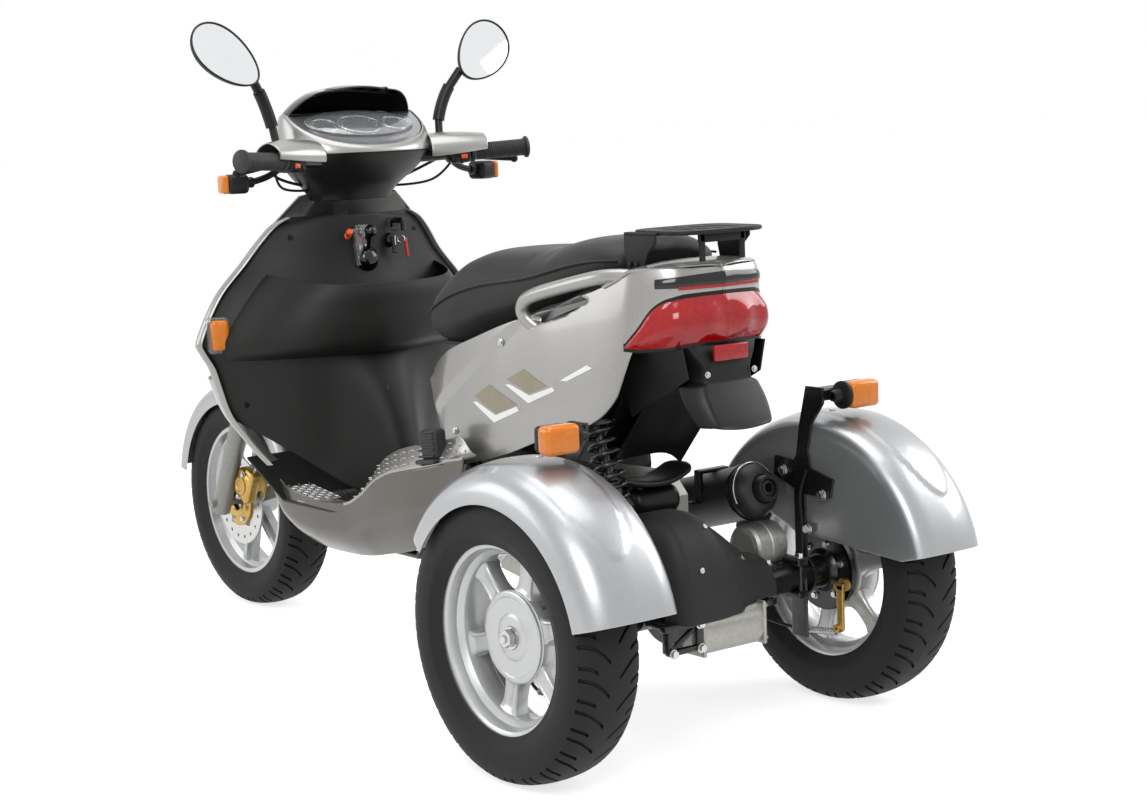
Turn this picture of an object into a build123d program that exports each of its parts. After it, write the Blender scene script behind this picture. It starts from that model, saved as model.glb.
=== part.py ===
"""Three-wheeled motor scooter: one steered front wheel, two rear wheels on a rigid axle.

Row frame, millimetres: -Y is forward, +X is the rider's left, +Z is up. The origin is on the ground,
at the centre of the overall box. Lengthwise places are stations, measured back from the rear axle.
"""

import os
from math import atan2, cos, degrees, hypot, radians, sin, tan

from build123d import *

os.makedirs("parts", exist_ok=True)

# ---------------------------------------------------------------- driving dimensions
WHEELBASE = 1500.0
HALF_TRACK = 364.0

REAR_TYRE_R = 243.0
REAR_TYRE_W = 130.0
REAR_RIM_R = 165.0
REAR_RIM_W = 98.0
FRONT_TYRE_R = 242.0
FRONT_TYRE_W = 112.0
FRONT_RIM_R = 175.0
FRONT_RIM_W = 86.0
RIM_WALL = 5.0
SPOKES = 6

FENDER_CROWN_R = 292.0
FENDER_LIP_R = 228.0
FENDER_BACKSET = 15.0    # hoop centre, behind the axle
FENDER_WALL = 2.5
FENDER_OUT = 78.0        # outer skin, from the wheel's centre plane
FENDER_IN = 96.0         # inner skin, from the wheel's centre plane
FENDER_REAR_DEG = 14.0   # rear lower edge, above the horizontal
FENDER_FRONT_DEG = 147.0

CASTER_DEG = 28.0
NECK_STATION = -1085.0
NECK_Z = 900.0

PANEL_WALL = 4.0
SEAM = 1.0               # gap between two body panels
TUBE_R = 14.0            # main frame tube

FENDER_REACH = FENDER_BACKSET + FENDER_CROWN_R * cos(radians(FENDER_REAR_DEG))
REAR_AXLE_Y = (WHEELBASE + FRONT_TYRE_R - FENDER_REACH) / 2
FRONT_AXLE_Y = REAR_AXLE_Y - WHEELBASE


def station(y):
    """Row Y of a place given by its distance behind the rear axle (negative is ahead of it)."""
    return REAR_AXLE_Y + y


def at(x, y, z):
    """Row point with y given as a station."""
    return (x, station(y), z)


def side_plane(x):
    """Vertical lengthwise plane at x, its first axis running rearward from the rear axle, second up."""
    return Plane(origin=at(x, 0, 0), x_dir=(0, 1, 0), z_dir=(1, 0, 0))


def deck_plane(z):
    """Level plane at z, its first axis running left, second rearward from the rear axle."""
    return Plane(origin=at(0, 0, z), x_dir=(1, 0, 0), z_dir=(0, 0, 1))


def save(part, name):
    part.label = name
    export_step(part, f"parts/{name}.step")


def tube(points, radius, bend):
    """Round tube along straight runs joined by arcs."""
    with BuildPart() as made:
        with BuildLine() as path:
            if len(points) > 2:
                FilletPolyline(*points, radius=bend)
            else:
                Line(*points)
        start = Plane(origin=path.line @ 0, z_dir=path.line % 0)
        with BuildSketch(start):
            Circle(radius)
        sweep()
    return made.part


def rod(a, b, radius):
    """Straight round bar from a to b."""
    return tube([a, b], radius, 0)


def mirrored(part):
    """The part with its mirror image across the centre plane, as two solids."""
    return Compound([part, part.mirror(Plane.YZ)])


# ---------------------------------------------------------------- steering axis
CASTER = radians(CASTER_DEG)
STEER = Plane(
    origin=(0, station(NECK_STATION), NECK_Z),
    x_dir=(1, 0, 0),
    z_dir=(0, sin(CASTER), cos(CASTER)),
)


def on_steer(x, v, w):
    """Row point from steering coordinates: x across, v behind the axis, w up along it."""
    p = STEER.from_local_coords(Vector(x, v, w))
    return (p.X, p.Y, p.Z)


AXLE_LOCAL = STEER.to_local_coords(Vector(0, FRONT_AXLE_Y, FRONT_TYRE_R))

# ---------------------------------------------------------------- wheels
AXLE_R = 9.0
SHAFT_R = 12.0
SHAFT_FIT = 1.0
HUB_R = 78.0
BEAD_DROP = 11.7        # bead seat, inside the rim flange
FLANGE = 5.0             # rim flange thickness


def tyre(radius, width, rim_r, rim_w, x, y):
    """Tyre with a rounded crown, sidewalls and beads, about a lateral axle at x, y."""
    half = width / 2
    bead = rim_w / 2 - FLANGE - 0.4
    shoulder = half * 0.86
    shoulder_r = radius - 0.13 * width
    bead_r = rim_r - BEAD_DROP
    with BuildPart() as made:
        with BuildSketch(Plane(origin=(x, y, radius), x_dir=(1, 0, 0), z_dir=(0, -1, 0))):
            with BuildLine():
                ThreePointArc((-shoulder, shoulder_r), (0, radius), (shoulder, shoulder_r))
                ThreePointArc((shoulder, shoulder_r), (half, shoulder_r - 22), (bead, rim_r + 2))
                Polyline((bead, rim_r + 2), (bead, bead_r), (bead - 16, bead_r))
                ThreePointArc((bead - 16, bead_r), (0, radius - 14), (-bead + 16, bead_r))
                Polyline((-bead + 16, bead_r), (-bead, bead_r), (-bead, rim_r + 2))
                ThreePointArc((-bead, rim_r + 2), (-half, shoulder_r - 22), (-shoulder, shoulder_r))
            make_face()
        revolve(axis=Axis((x, y, radius), (1, 0, 0)))
    return made.part


def rim(rim_r, width, hub, x, y, z, side):
    """Cast wheel: barrel with two flanges, hub and six ribbed spokes.

    side is +1 where the wheel's outer face looks to +X. hub holds its radius, outer face, inner face
    and bore radius, the faces measured outward from the wheel's centre plane."""
    half = width / 2
    seat_r = rim_r - BEAD_DROP - 0.3
    well_r = seat_r - 10
    hub_r, hub_face, hub_back, bore_r = hub
    with BuildPart() as made:
        with BuildSketch(Plane(origin=(x, y, z), x_dir=(side, 0, 0), z_dir=(0, -side, 0))):
            with BuildLine():
                Polyline(
                    (-half, rim_r), (-half + FLANGE, rim_r), (-half + FLANGE, seat_r), (-half + 22, seat_r),
                    (-half + 30, well_r), (half - 30, well_r), (half - 22, seat_r), (half - FLANGE, seat_r),
                    (half - FLANGE, rim_r), (half, rim_r), (half, seat_r - RIM_WALL),
                    (half - 20, seat_r - RIM_WALL), (half - 28, well_r - RIM_WALL),
                    (-half + 28, well_r - RIM_WALL), (-half + 20, seat_r - RIM_WALL),
                    (-half, seat_r - RIM_WALL), close=True,
                )
            make_face()
            with BuildLine():
                Polyline(
                    (hub_back, bore_r), (hub_face, bore_r), (hub_face, hub_r - 6),
                    (hub_face - 6, hub_r), (hub_back, hub_r), close=True,
                )
            make_face()
        revolve(axis=Axis((x, y, z), (1, 0, 0)))
        spoke_len = well_r - hub_r
        for k in range(SPOKES):
            turn = radians(360 / SPOKES * k + 15)
            face = Plane(origin=(x, y, z), x_dir=(0, cos(turn), sin(turn)), z_dir=(side, 0, 0))
            for start, depth, breadth in ((hub_face - 24, 9, 30), (hub_face - 40, 34, 12)):
                with BuildSketch(face.offset(start)):
                    with Locations((hub_r - 3 + spoke_len / 2, 0)):
                        Rectangle(spoke_len, breadth)
                extrude(amount=depth)
    return made.part


REAR_HUB = (HUB_R, 18, -30, 0)
SHAFT_IN = 150.0         # inner end of each half shaft, from the wheel's centre plane
SHAFT_OUT = 30.0         # outer end of each half shaft

for side, name in ((1, "left"), (-1, "right")):
    x = side * HALF_TRACK
    save(tyre(REAR_TYRE_R, REAR_TYRE_W, REAR_RIM_R, REAR_RIM_W, x, REAR_AXLE_Y), f"rear_tyre_{name}")
    wheel = rim(REAR_RIM_R, REAR_RIM_W, REAR_HUB, x, REAR_AXLE_Y, REAR_TYRE_R, side)
    shaft = rod(
        (x - side * SHAFT_IN, REAR_AXLE_Y, REAR_TYRE_R),
        (x + side * SHAFT_OUT, REAR_AXLE_Y, REAR_TYRE_R),
        SHAFT_R,
    )
    save(wheel + shaft, f"rear_rim_{name}")

FRONT_HUB = (38, 30, -30, AXLE_R + SHAFT_FIT)
save(tyre(FRONT_TYRE_R, FRONT_TYRE_W, FRONT_RIM_R, FRONT_RIM_W, 0, FRONT_AXLE_Y), "front_tyre")
save(rim(FRONT_RIM_R, FRONT_RIM_W, FRONT_HUB, 0, FRONT_AXLE_Y, FRONT_TYRE_R, 1), "front_rim")

DISC_R = 100.0
DISC_X = 46.0
DISC_T = 4.0
with BuildPart() as brake_disc:
    with BuildSketch(side_plane(30.3)):
        with Locations((-WHEELBASE, FRONT_TYRE_R)):
            Circle(36)
            Circle(AXLE_R + SHAFT_FIT, mode=Mode.SUBTRACT)
    extrude(amount=DISC_X - 30.3)
    with BuildSketch(side_plane(DISC_X)):
        with Locations((-WHEELBASE, FRONT_TYRE_R)):
            Circle(DISC_R)
            Circle(AXLE_R + SHAFT_FIT, mode=Mode.SUBTRACT)
            with PolarLocations(84, 18):
                Circle(4, mode=Mode.SUBTRACT)
            with PolarLocations(56, 5, start_angle=18):
                Circle(11, mode=Mode.SUBTRACT)
    extrude(amount=DISC_T)
save(brake_disc.part, "brake_disc")

# ---------------------------------------------------------------- frame
STEM_R = 15.0
HEAD_TUBE_R = 24.0
HEAD_TOP = -30.0         # along the steering axis
HEAD_LOW = -190.0
RAIL_X = 118.0
FLOOR_TUBE_X = 110.0
FLOOR_TUBE_Z = 288.0

SHOCK_X = 125.0
SHOCK_TOP = (-117, 652)  # station and height of the upper pin
SHOCK_LOW = (-4, 293)
SHOCK_PIN_R = 5.0
LUG_X = SHOCK_X - 15.5
LUG_T = 7.0

rail_points = [
    at(FLOOR_TUBE_X, -1010, FLOOR_TUBE_Z), at(FLOOR_TUBE_X, -600, FLOOR_TUBE_Z),
    at(RAIL_X, -500, 480), at(RAIL_X, -420, 600), at(RAIL_X, 0, 715),
]
left_rail = tube(rail_points, TUBE_R, 60)
cross_bars = ((-1010, FLOOR_TUBE_Z, FLOOR_TUBE_X), (-640, FLOOR_TUBE_Z, FLOOR_TUBE_X), (-16, 710.6, RAIL_X))
with BuildPart() as main_frame:
    with BuildSketch(STEER.offset(HEAD_LOW)):
        Circle(HEAD_TUBE_R)
    extrude(amount=HEAD_TOP - HEAD_LOW)
    add(rod(on_steer(0, 0, -110), at(0, -1010, FLOOR_TUBE_Z), 20))
    add(left_rail)
    add(left_rail.mirror(Plane.YZ))
    for y, z, reach in cross_bars:
        add(rod(at(-reach, y, z), at(reach, y, z), TUBE_R - 1))
    for x in (-100, 100):
        add(tube([at(x, -905, FLOOR_TUBE_Z), at(x, -890, 236), at(x, -690, 236), at(x, -670, FLOOR_TUBE_Z)], 8, 14))
    # lugs that carry the rear axle
    for x in (-RAIL_X, RAIL_X):
        add(tube([at(x, -500, 480), at(x, -330, 300), at(x, -40, 262)], 13, 50))
    # pegs for the body panels, and the engine's mounts
    for side in (1, -1):
        add(rod(at(side * RAIL_X, -200, 660), at(side * 160.8, -200, 660), 6))
        add(rod(at(side * RAIL_X, -330, 300), at(side * 95.4, -330, 300), 8))
    # shock absorber lugs and pins under the rails
    for side in (1, -1):
        with BuildSketch(side_plane(side * LUG_X - LUG_T / 2)):
            with BuildLine():
                y, z = SHOCK_TOP
                Polyline((y - 12, z - 8), (y + 12, z - 8), (y + 18, z + 26), (y - 18, z + 20), close=True)
            make_face()
        extrude(amount=LUG_T)
        add(rod(at(side * LUG_X, *SHOCK_TOP), at(side * (SHOCK_X + 12), *SHOCK_TOP), SHOCK_PIN_R))
    with BuildSketch(STEER.offset(HEAD_LOW - 1)):
        Circle(STEM_R + SHAFT_FIT)
    extrude(amount=HEAD_TOP - HEAD_LOW + 2, mode=Mode.SUBTRACT)
save(main_frame.part, "main_frame")

# ---------------------------------------------------------------- rear axle
HOUSING_R = 27.0
BACKPLATE_R = 74.0
BACKPLATE_X = HALF_TRACK - 46.0
with BuildPart() as rear_axle:
    for side in (1, -1):
        face = Plane(origin=(side * 62, REAR_AXLE_Y, REAR_TYRE_R), x_dir=(0, 1, 0), z_dir=(side, 0, 0))
        with BuildSketch(face):
            Circle(HOUSING_R)
        extrude(amount=BACKPLATE_X - 62)
        with BuildSketch(face.offset(BACKPLATE_X - 62)):
            Circle(BACKPLATE_R)
        extrude(amount=9)
    with BuildSketch(side_plane(-62)):
        with Locations((0, REAR_TYRE_R)):
            Circle(70)
    extrude(amount=124)
    for side in (1, -1):
        face = Plane(origin=(side * 150, REAR_AXLE_Y, REAR_TYRE_R), x_dir=(0, 1, 0), z_dir=(side, 0, 0))
        with BuildSketch(face):
            Circle(SHAFT_R + SHAFT_FIT)
        extrude(amount=HALF_TRACK, mode=Mode.SUBTRACT)
    # clamps round the housing where the frame lugs land
    for x in (-RAIL_X, RAIL_X):
        with BuildSketch(side_plane(x - 16)):
            with Locations((0, REAR_TYRE_R)):
                Circle(HOUSING_R + 9)
                Circle(HOUSING_R - 2, mode=Mode.SUBTRACT)
        extrude(amount=32)
    # shock absorber lugs and pins
    for side in (1, -1):
        with BuildSketch(side_plane(side * LUG_X - LUG_T / 2)):
            with BuildLine():
                Polyline((-20, 268), (14, 268), (8, 302), (-14, 302), close=True)
            make_face()
        extrude(amount=LUG_T)
        add(rod(at(side * LUG_X, *SHOCK_LOW), at(side * (SHOCK_X + 12), *SHOCK_LOW), SHOCK_PIN_R))
save(rear_axle.part, "rear_axle")

with BuildPart() as gearbox:
    with BuildSketch(side_plane(-66)):
        with Locations((67, 170)):
            Circle(26)
    extrude(amount=132)
    with BuildSketch(side_plane(-50)):
        with BuildLine():
            Polyline((-70, 160), (60, 150), (66, 172.7), (-70, 172.7), close=True)
        make_face()
    extrude(amount=100)
save(gearbox.part, "gearbox")

with BuildPart() as engine:
    with BuildSketch(side_plane(-95)):
        with BuildLine():
            Polyline((-430, 250), (-130, 200), (-80, 200), (-80, 312), (-112, 312), (-112, 400), (-150, 440),
                     (-430, 430), close=True)
        make_face()
    extrude(amount=190)
save(engine.part, "engine")

COVER_HALF = 100.0
with BuildPart() as diff_cover:
    for reach, drop, mode in ((COVER_HALF, 0, Mode.ADD), (COVER_HALF - 4, 4, Mode.SUBTRACT)):
        with BuildSketch(side_plane(-reach)):
            with BuildLine():
                crown = Line((-104 - drop, 392 - drop), (20, 404 - drop))
                hood = ThreePointArc(crown @ 1, (78, 372 - drop), (105 - drop, 300))
                back = Line(hood @ 1, (88 - drop, 236 - drop))
                Polyline(back @ 1, (74, 236 - drop), (74, 318), (-104 - drop, 318), crown @ 0)
            make_face()
        extrude(amount=2 * reach, mode=mode)
    with BuildSketch(side_plane(-7)):
        with BuildLine():
            Polyline((-80, 318), (60, 318), (60, 382), (-80, 393), close=True)
        make_face()
    extrude(amount=14)
    with Locations(at(0, 0, 315.9)):
        Box(14, 40, 5)
save(diff_cover.part, "diff_cover")

MUFFLER_X = -202.0
MUFFLER_R = 46.0
muffler_axis = Plane(origin=at(MUFFLER_X, -340, 325), x_dir=(1, 0, 0), z_dir=(0, 320, 82))
with BuildPart() as muffler:
    with BuildSketch(muffler_axis.rotated((90, 0, 0))):
        with BuildLine():
            Polyline(
                (0, 0), (MUFFLER_R - 18, 0), (MUFFLER_R, 30), (MUFFLER_R, 250),
                (MUFFLER_R - 6, 262), (MUFFLER_R - 9, 292), (28, 306), (26, 306), (26, 322), (16, 322),
                (16, 330), (12, 330), (12, 280), (0, 280), close=True,
            )
        make_face()
    revolve(axis=Axis(muffler_axis.origin, muffler_axis.z_dir))
    # pipe from the engine and the hanger to the frame
    add(tube([at(-202, -335, 326), at(-202, -380, 312), at(-100, -400, 300)], 15, 30))
    with BuildSketch(side_plane(MUFFLER_X + 36)):
        with BuildLine():
            Polyline((-250, 352), (-190, 352), (-190, 290), (-250, 290), close=True)
        make_face()
    extrude(amount=-MUFFLER_X - 36 - RAIL_X - 13.3)
save(muffler.part, "muffler")

shock_low = at(SHOCK_X, *SHOCK_LOW)
shock_top = at(SHOCK_X, *SHOCK_TOP)
axis_dir = Vector(*shock_top) - Vector(*shock_low)
shock_len = axis_dir.length
shock = Plane(origin=shock_low, x_dir=(1, 0, 0), z_dir=axis_dir)
with BuildPart() as left_shock:
    for start, end, radius in ((8, shock_len - 8, 6), (16, 150, 15), (150, shock_len - 20, 12), (52, 58, 22),
                               (shock_len - 40, shock_len - 34, 22)):
        with BuildSketch(shock.offset(start)):
            Circle(radius)
        extrude(amount=end - start)
    with BuildSketch(side_plane(SHOCK_X - 11)):
        for point in (shock_low, shock_top):
            with Locations((point[1] - REAR_AXLE_Y, point[2])):
                Circle(13)
    extrude(amount=22)
    with BuildSketch(side_plane(SHOCK_X - 12)):
        for point in (shock_low, shock_top):
            with Locations((point[1] - REAR_AXLE_Y, point[2])):
                Circle(SHOCK_PIN_R + 0.4)
    extrude(amount=24, mode=Mode.SUBTRACT)
save(mirrored(left_shock.part), "shock_absorbers")

# ---------------------------------------------------------------- rear fenders
HOOP_Y = FENDER_BACKSET
FENDER_ARC = FENDER_FRONT_DEG - FENDER_REAR_DEG
rear_edge = radians(FENDER_REAR_DEG)
hoop = Plane(
    origin=at(HALF_TRACK, HOOP_Y, REAR_TYRE_R),
    x_dir=(1, 0, 0),
    z_dir=(0, -sin(rear_edge), cos(rear_edge)),
)
hoop_axis = Axis(hoop.origin, (1, 0, 0))
with BuildPart() as left_fender:
    for inset, mode in ((0, Mode.ADD), (FENDER_WALL, Mode.SUBTRACT)):
        with BuildSketch(hoop) as section:
            with BuildLine():
                out, inn, top = FENDER_OUT - inset, FENDER_IN - inset, FENDER_CROWN_R - inset
                Polyline((-inn, 150), (out, 150), (out, top), (-inn, top), close=True)
            make_face()
            fillet(section.vertices().group_by(Axis.Z)[-1], 38 - inset)
        revolve(axis=hoop_axis, revolution_arc=FENDER_ARC, mode=mode)
    # the lip is trimmed to its radius on the outside, the inner wall to a slanted lower edge
    with BuildSketch(side_plane(HALF_TRACK - 20)):
        with Locations((HOOP_Y, REAR_TYRE_R)):
            Circle(FENDER_LIP_R)
    extrude(amount=FENDER_OUT + 30, mode=Mode.SUBTRACT)
    with BuildSketch(side_plane(HALF_TRACK - FENDER_IN)):
        with Locations((HOOP_Y, REAR_TYRE_R)):
            Circle(FENDER_CROWN_R - 40)
        with BuildLine():
            Polyline((-250, 390), (-122, 362), (-22, 320), (300, 296), (300, 640), (-300, 640), close=True)
        make_face(mode=Mode.INTERSECT)
    extrude(amount=FENDER_WALL)
    with BuildSketch(side_plane(HALF_TRACK - FENDER_IN - 1)):
        with BuildLine():
            Polyline((-400, 422), (-250, 390), (-122, 362), (-22, 320), (400, 288), (400, 0), (-400, 0), close=True)
        make_face()
    extrude(amount=FENDER_WALL + 20, mode=Mode.SUBTRACT)
save(left_fender.part, "rear_fender_left")
save(left_fender.part.mirror(Plane.YZ), "rear_fender_right")

BRACKET_X = HALF_TRACK - FENDER_IN - 6
SIGNAL = (336, 79, 572)
with BuildPart() as left_bracket:
    with BuildSketch(side_plane(BRACKET_X)):
        with BuildLine():
            Polyline(
                (-13, 262), (13, 262), (13, 392), (78, 392), (86, 425), (30, 440), (22, 470), (34, 520),
                (64, 560), (64, 588), (22, 588), (4, 520), (-6, 462), (-14, 450), (-62, 455), (-66, 420),
                (-13, 400), close=True,
            )
        make_face()
        with Locations((0, REAR_TYRE_R)):
            Circle(HOUSING_R + 9)
            Circle(HOUSING_R, mode=Mode.SUBTRACT)
    extrude(amount=5.7)
    with BuildSketch(side_plane(BRACKET_X + 5.7)):
        with Locations((44, 574)):
            RectangleRounded(34, 22, 5)
    extrude(amount=SIGNAL[0] - BRACKET_X - 22)
save(mirrored(left_bracket.part), "signal_brackets")

with BuildPart() as left_signal:
    with BuildSketch(Plane(origin=at(SIGNAL[0], 61.4, SIGNAL[2]), x_dir=(-1, 0, 0), z_dir=(0, 1, 0))):
        RectangleRounded(60, 46, 12)
    extrude(amount=24)
    with BuildSketch(Plane(origin=at(SIGNAL[0], 86, SIGNAL[2]), x_dir=(-1, 0, 0), z_dir=(0, 1, 0))):
        RectangleRounded(56, 42, 12)
    extrude(amount=16, taper=12)

# ---------------------------------------------------------------- tail body
TAIL_HALF = 178.0
RACK_EAR_X = 104.0
BODY_SIDE = [
    (-488, 660), (-563, 591), (-540, 509), (-493, 438), (-342, 460), (-239, 509), (-122, 535), (-9, 581),
    (38, 690), (112, 745), (124, 800), (112, 824), (33, 826), (-14, 800), (-278, 724),
]


def body_plan(inset):
    """Plan outline of the tail body, drawn inset from the outer skin."""
    half = TAIL_HALF - inset
    with BuildSketch() as made:
        with BuildLine():
            nose = Line((-150 + inset, -575 + inset), (150 - inset, -575 + inset))
            left = ThreePointArc(nose @ 1, (half, -300), (half - 8, -60))
            side = ThreePointArc(left @ 1, (140 - inset, 55), (92 - inset, 122 - inset))
            tail = ThreePointArc(side @ 1, (0, 132 - inset), (-92 + inset, 122 - inset))
            back = ThreePointArc(tail @ 1, (-140 + inset, 55), (-half + 8, -60))
            ThreePointArc(back @ 1, (-half, -300), nose @ 0)
        make_face()
    return made.sketch


with BuildPart() as tail_body:
    with BuildSketch(side_plane(-TAIL_HALF - 10)):
        with BuildLine():
            Polyline(*BODY_SIDE, close=True)
        make_face()
    extrude(amount=2 * TAIL_HALF + 20)
    with BuildSketch(deck_plane(420)):
        add(body_plan(0))
    extrude(amount=430, taper=3, mode=Mode.INTERSECT)
    with BuildSketch(deck_plane(410)):
        add(body_plan(PANEL_WALL))
    extrude(amount=450, taper=3, mode=Mode.SUBTRACT)
    # hand grips: a slot through each side under the grab rail
    with BuildSketch(side_plane(-200)):
        with BuildLine():
            Polyline((-222, 716), (-130, 738), (-86, 768), (-110, 770), (-180, 756), (-224, 738), close=True)
        make_face()
    extrude(amount=400, mode=Mode.SUBTRACT)
    # top plate between the rack's ears, with a short lip over the lamp
    with BuildSketch(side_plane(-RACK_EAR_X)):
        with BuildLine():
            Polyline((-8, 812), (34, 838), (124, 836), (136, 826), (136, 816), (112, 822), (34, 824), (-8, 800),
                     close=True)
        make_face()
    extrude(amount=2 * RACK_EAR_X)
save(tail_body.part, "tail_body")

# ---------------------------------------------------------------- tail details
LAMP_DEEP = 14.0
with BuildPart() as tail_light:
    for outward, mode in ((LAMP_DEEP, Mode.ADD), (0.4, Mode.SUBTRACT)):
        with BuildSketch(deck_plane(420)):
            add(body_plan(-outward))
        extrude(amount=430, taper=3, mode=mode)
    with BuildSketch(side_plane(-190)):
        with BuildLine():
            Polyline((26, 700), (150, 700), (150, 772), (112, 776), (72, 744), close=True)
        make_face()
    extrude(amount=380, mode=Mode.INTERSECT)
    with BuildSketch(Plane(origin=at(0, 116.5, 682), x_dir=(-1, 0, 0), z_dir=(0, 1, 0))):
        Rectangle(74, 27)
    extrude(amount=7)
save(tail_light.part, "tail_light")

with BuildPart() as mudguard:
    with BuildSketch(side_plane(-88)):
        with BuildLine():
            Polyline((30, 640), (36, 684), (104, 699.7), (116, 699.7), (116, 640), (166, 557), (162, 555), (110, 632),
                     close=True)
        make_face()
    extrude(amount=176)
    with BuildSketch(side_plane(-78)):
        with BuildLine():
            Polyline((44, 668), (-118, 480), (-114, 477), (50, 665), close=True)
        make_face()
    extrude(amount=156)
save(mudguard.part, "rear_mudguard")

RACK_Z = 880.0
RACK_BOLTS = (150, 110)   # spacing across and along
with BuildPart() as luggage_rack:
    with BuildSketch(deck_plane(RACK_Z)):
        with Locations((0, 48)):
            RectangleRounded(200, 156, 34)
            with GridLocations(34, 0, 4, 1):
                SlotOverall(92, 14, rotation=90, mode=Mode.SUBTRACT)
            with GridLocations(*RACK_BOLTS, 2, 2):
                Circle(3.3, mode=Mode.SUBTRACT)
    extrude(amount=8)
    for x in (-RACK_EAR_X - 4, RACK_EAR_X):
        with BuildSketch(side_plane(x)):
            with BuildLine():
                Polyline((-22, 884), (60, 884), (60, 868), (40, 850), (24, 818), (-14, 818), (-22, 850), close=True)
            make_face()
            with Locations((-4, 832), (12, 832)):
                Circle(3.2, mode=Mode.SUBTRACT)
        extrude(amount=4)
    for x in (-101, 101):
        with BuildSketch(deck_plane(RACK_Z)):
            with Locations((x, 19)):
                Rectangle(14, 82)
        extrude(amount=4)
    with BuildSketch(side_plane(-60)):
        with BuildLine():
            Polyline((98, 881), (118, 881), (118, 850), (110, 838), (98, 838), close=True)
        make_face()
    extrude(amount=120)
save(luggage_rack.part, "luggage_rack")

BUCKET_HALF = 100.0
SEAT_HINGE = (-548, 648)   # station and height of the pin
HINGE_PIN_R = 4.0
with BuildPart() as storage_bucket:
    for inset, mode in ((0, Mode.ADD), (3, Mode.SUBTRACT)):
        with BuildSketch(side_plane(-BUCKET_HALF + inset)):
            with BuildLine():
                Polyline((-480 + inset, 640), (-470 + inset, 480 + inset), (-130 - inset, 480 + inset),
                         (-50 - inset, 600), (-40 - inset, 790), (-40 - inset, 800 + 9 * inset),
                         (-480 + inset, 640 + 9 * inset), close=True)
            make_face()
        extrude(amount=2 * (BUCKET_HALF - inset), mode=mode)
    # tabs on the frame rails
    for side in (1, -1):
        with Locations(at(side * (BUCKET_HALF + 1.7), -250, 646)):
            Box(4, 30, 12)
    # ears and pin of the seat hinge, carried by the bucket's front wall
    for x in (-39, 34):
        with BuildSketch(side_plane(x)):
            with BuildLine():
                Polyline((-476, 636), (-476, 580), (SEAT_HINGE[0], SEAT_HINGE[1] - 8), (SEAT_HINGE[0], SEAT_HINGE[1] + 8),
                         close=True)
            make_face()
            with Locations(SEAT_HINGE):
                Circle(8)
        extrude(amount=5)
    add(rod(at(-36, *SEAT_HINGE), at(36, *SEAT_HINGE), HINGE_PIN_R))
save(storage_bucket.part, "storage_bucket")

# ---------------------------------------------------------------- seat
SEAT_HALF = 140.0
with BuildPart() as seat_cushion:
    with BuildSketch(side_plane(-SEAT_HALF)):
        with BuildLine():
            under = Polyline((-18, 818), (-278, 738), (-500, 668), (-578, 668))
            front = ThreePointArc(under @ 1, (-606, 730), (-560, 806))
            dip = ThreePointArc(front @ 1, (-390, 838), (-240, 842))
            rear = ThreePointArc(dip @ 1, (-130, 868), (-30, 862))
            Line(rear @ 1, under @ 0)
        make_face()
    extrude(amount=2 * SEAT_HALF)
    with BuildSketch(deck_plane(650)):
        with BuildLine():
            nose = ThreePointArc((-96, -560), (0, -606), (96, -560))
            left = ThreePointArc(nose @ 1, (136, -420), (SEAT_HALF, -300))
            flank = ThreePointArc(left @ 1, (136, -120), (104, -20))
            tail = Line(flank @ 1, (-104, -20))
            right = ThreePointArc(tail @ 1, (-136, -120), (-SEAT_HALF, -300))
            ThreePointArc(right @ 1, (-136, -420), nose @ 0)
        make_face()
    extrude(amount=250, mode=Mode.INTERSECT)
    fillet(seat_cushion.faces().sort_by(Axis.Z)[-1].edges().filter_by(GeomType.LINE, reverse=True), 6)
save(seat_cushion.part, "seat_cushion")

SEAT_PAN = 7.0
with BuildPart() as seat_base:
    with BuildSketch(side_plane(-104)):
        with BuildLine():
            upper = Polyline((-30, 814), (-278, 737.7), (-500, 667.7), (-574, 667.7))
            Polyline(upper @ 1, (-574, 667.7 - SEAT_PAN), (-500, 667.7 - SEAT_PAN), (-278, 737.7 - SEAT_PAN),
                     (-30, 814 - SEAT_PAN), upper @ 0)
        make_face()
    extrude(amount=208)
    with BuildSketch(side_plane(-32)):
        with Locations(SEAT_HINGE):
            Circle(7.5)
        with Locations((SEAT_HINGE[0], 657)):
            Rectangle(11, 12)
    extrude(amount=64)
    with BuildSketch(side_plane(-33)):
        with Locations(SEAT_HINGE):
            Circle(HINGE_PIN_R + 0.5)
    extrude(amount=66, mode=Mode.SUBTRACT)
save(seat_base.part, "seat_base")

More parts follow.
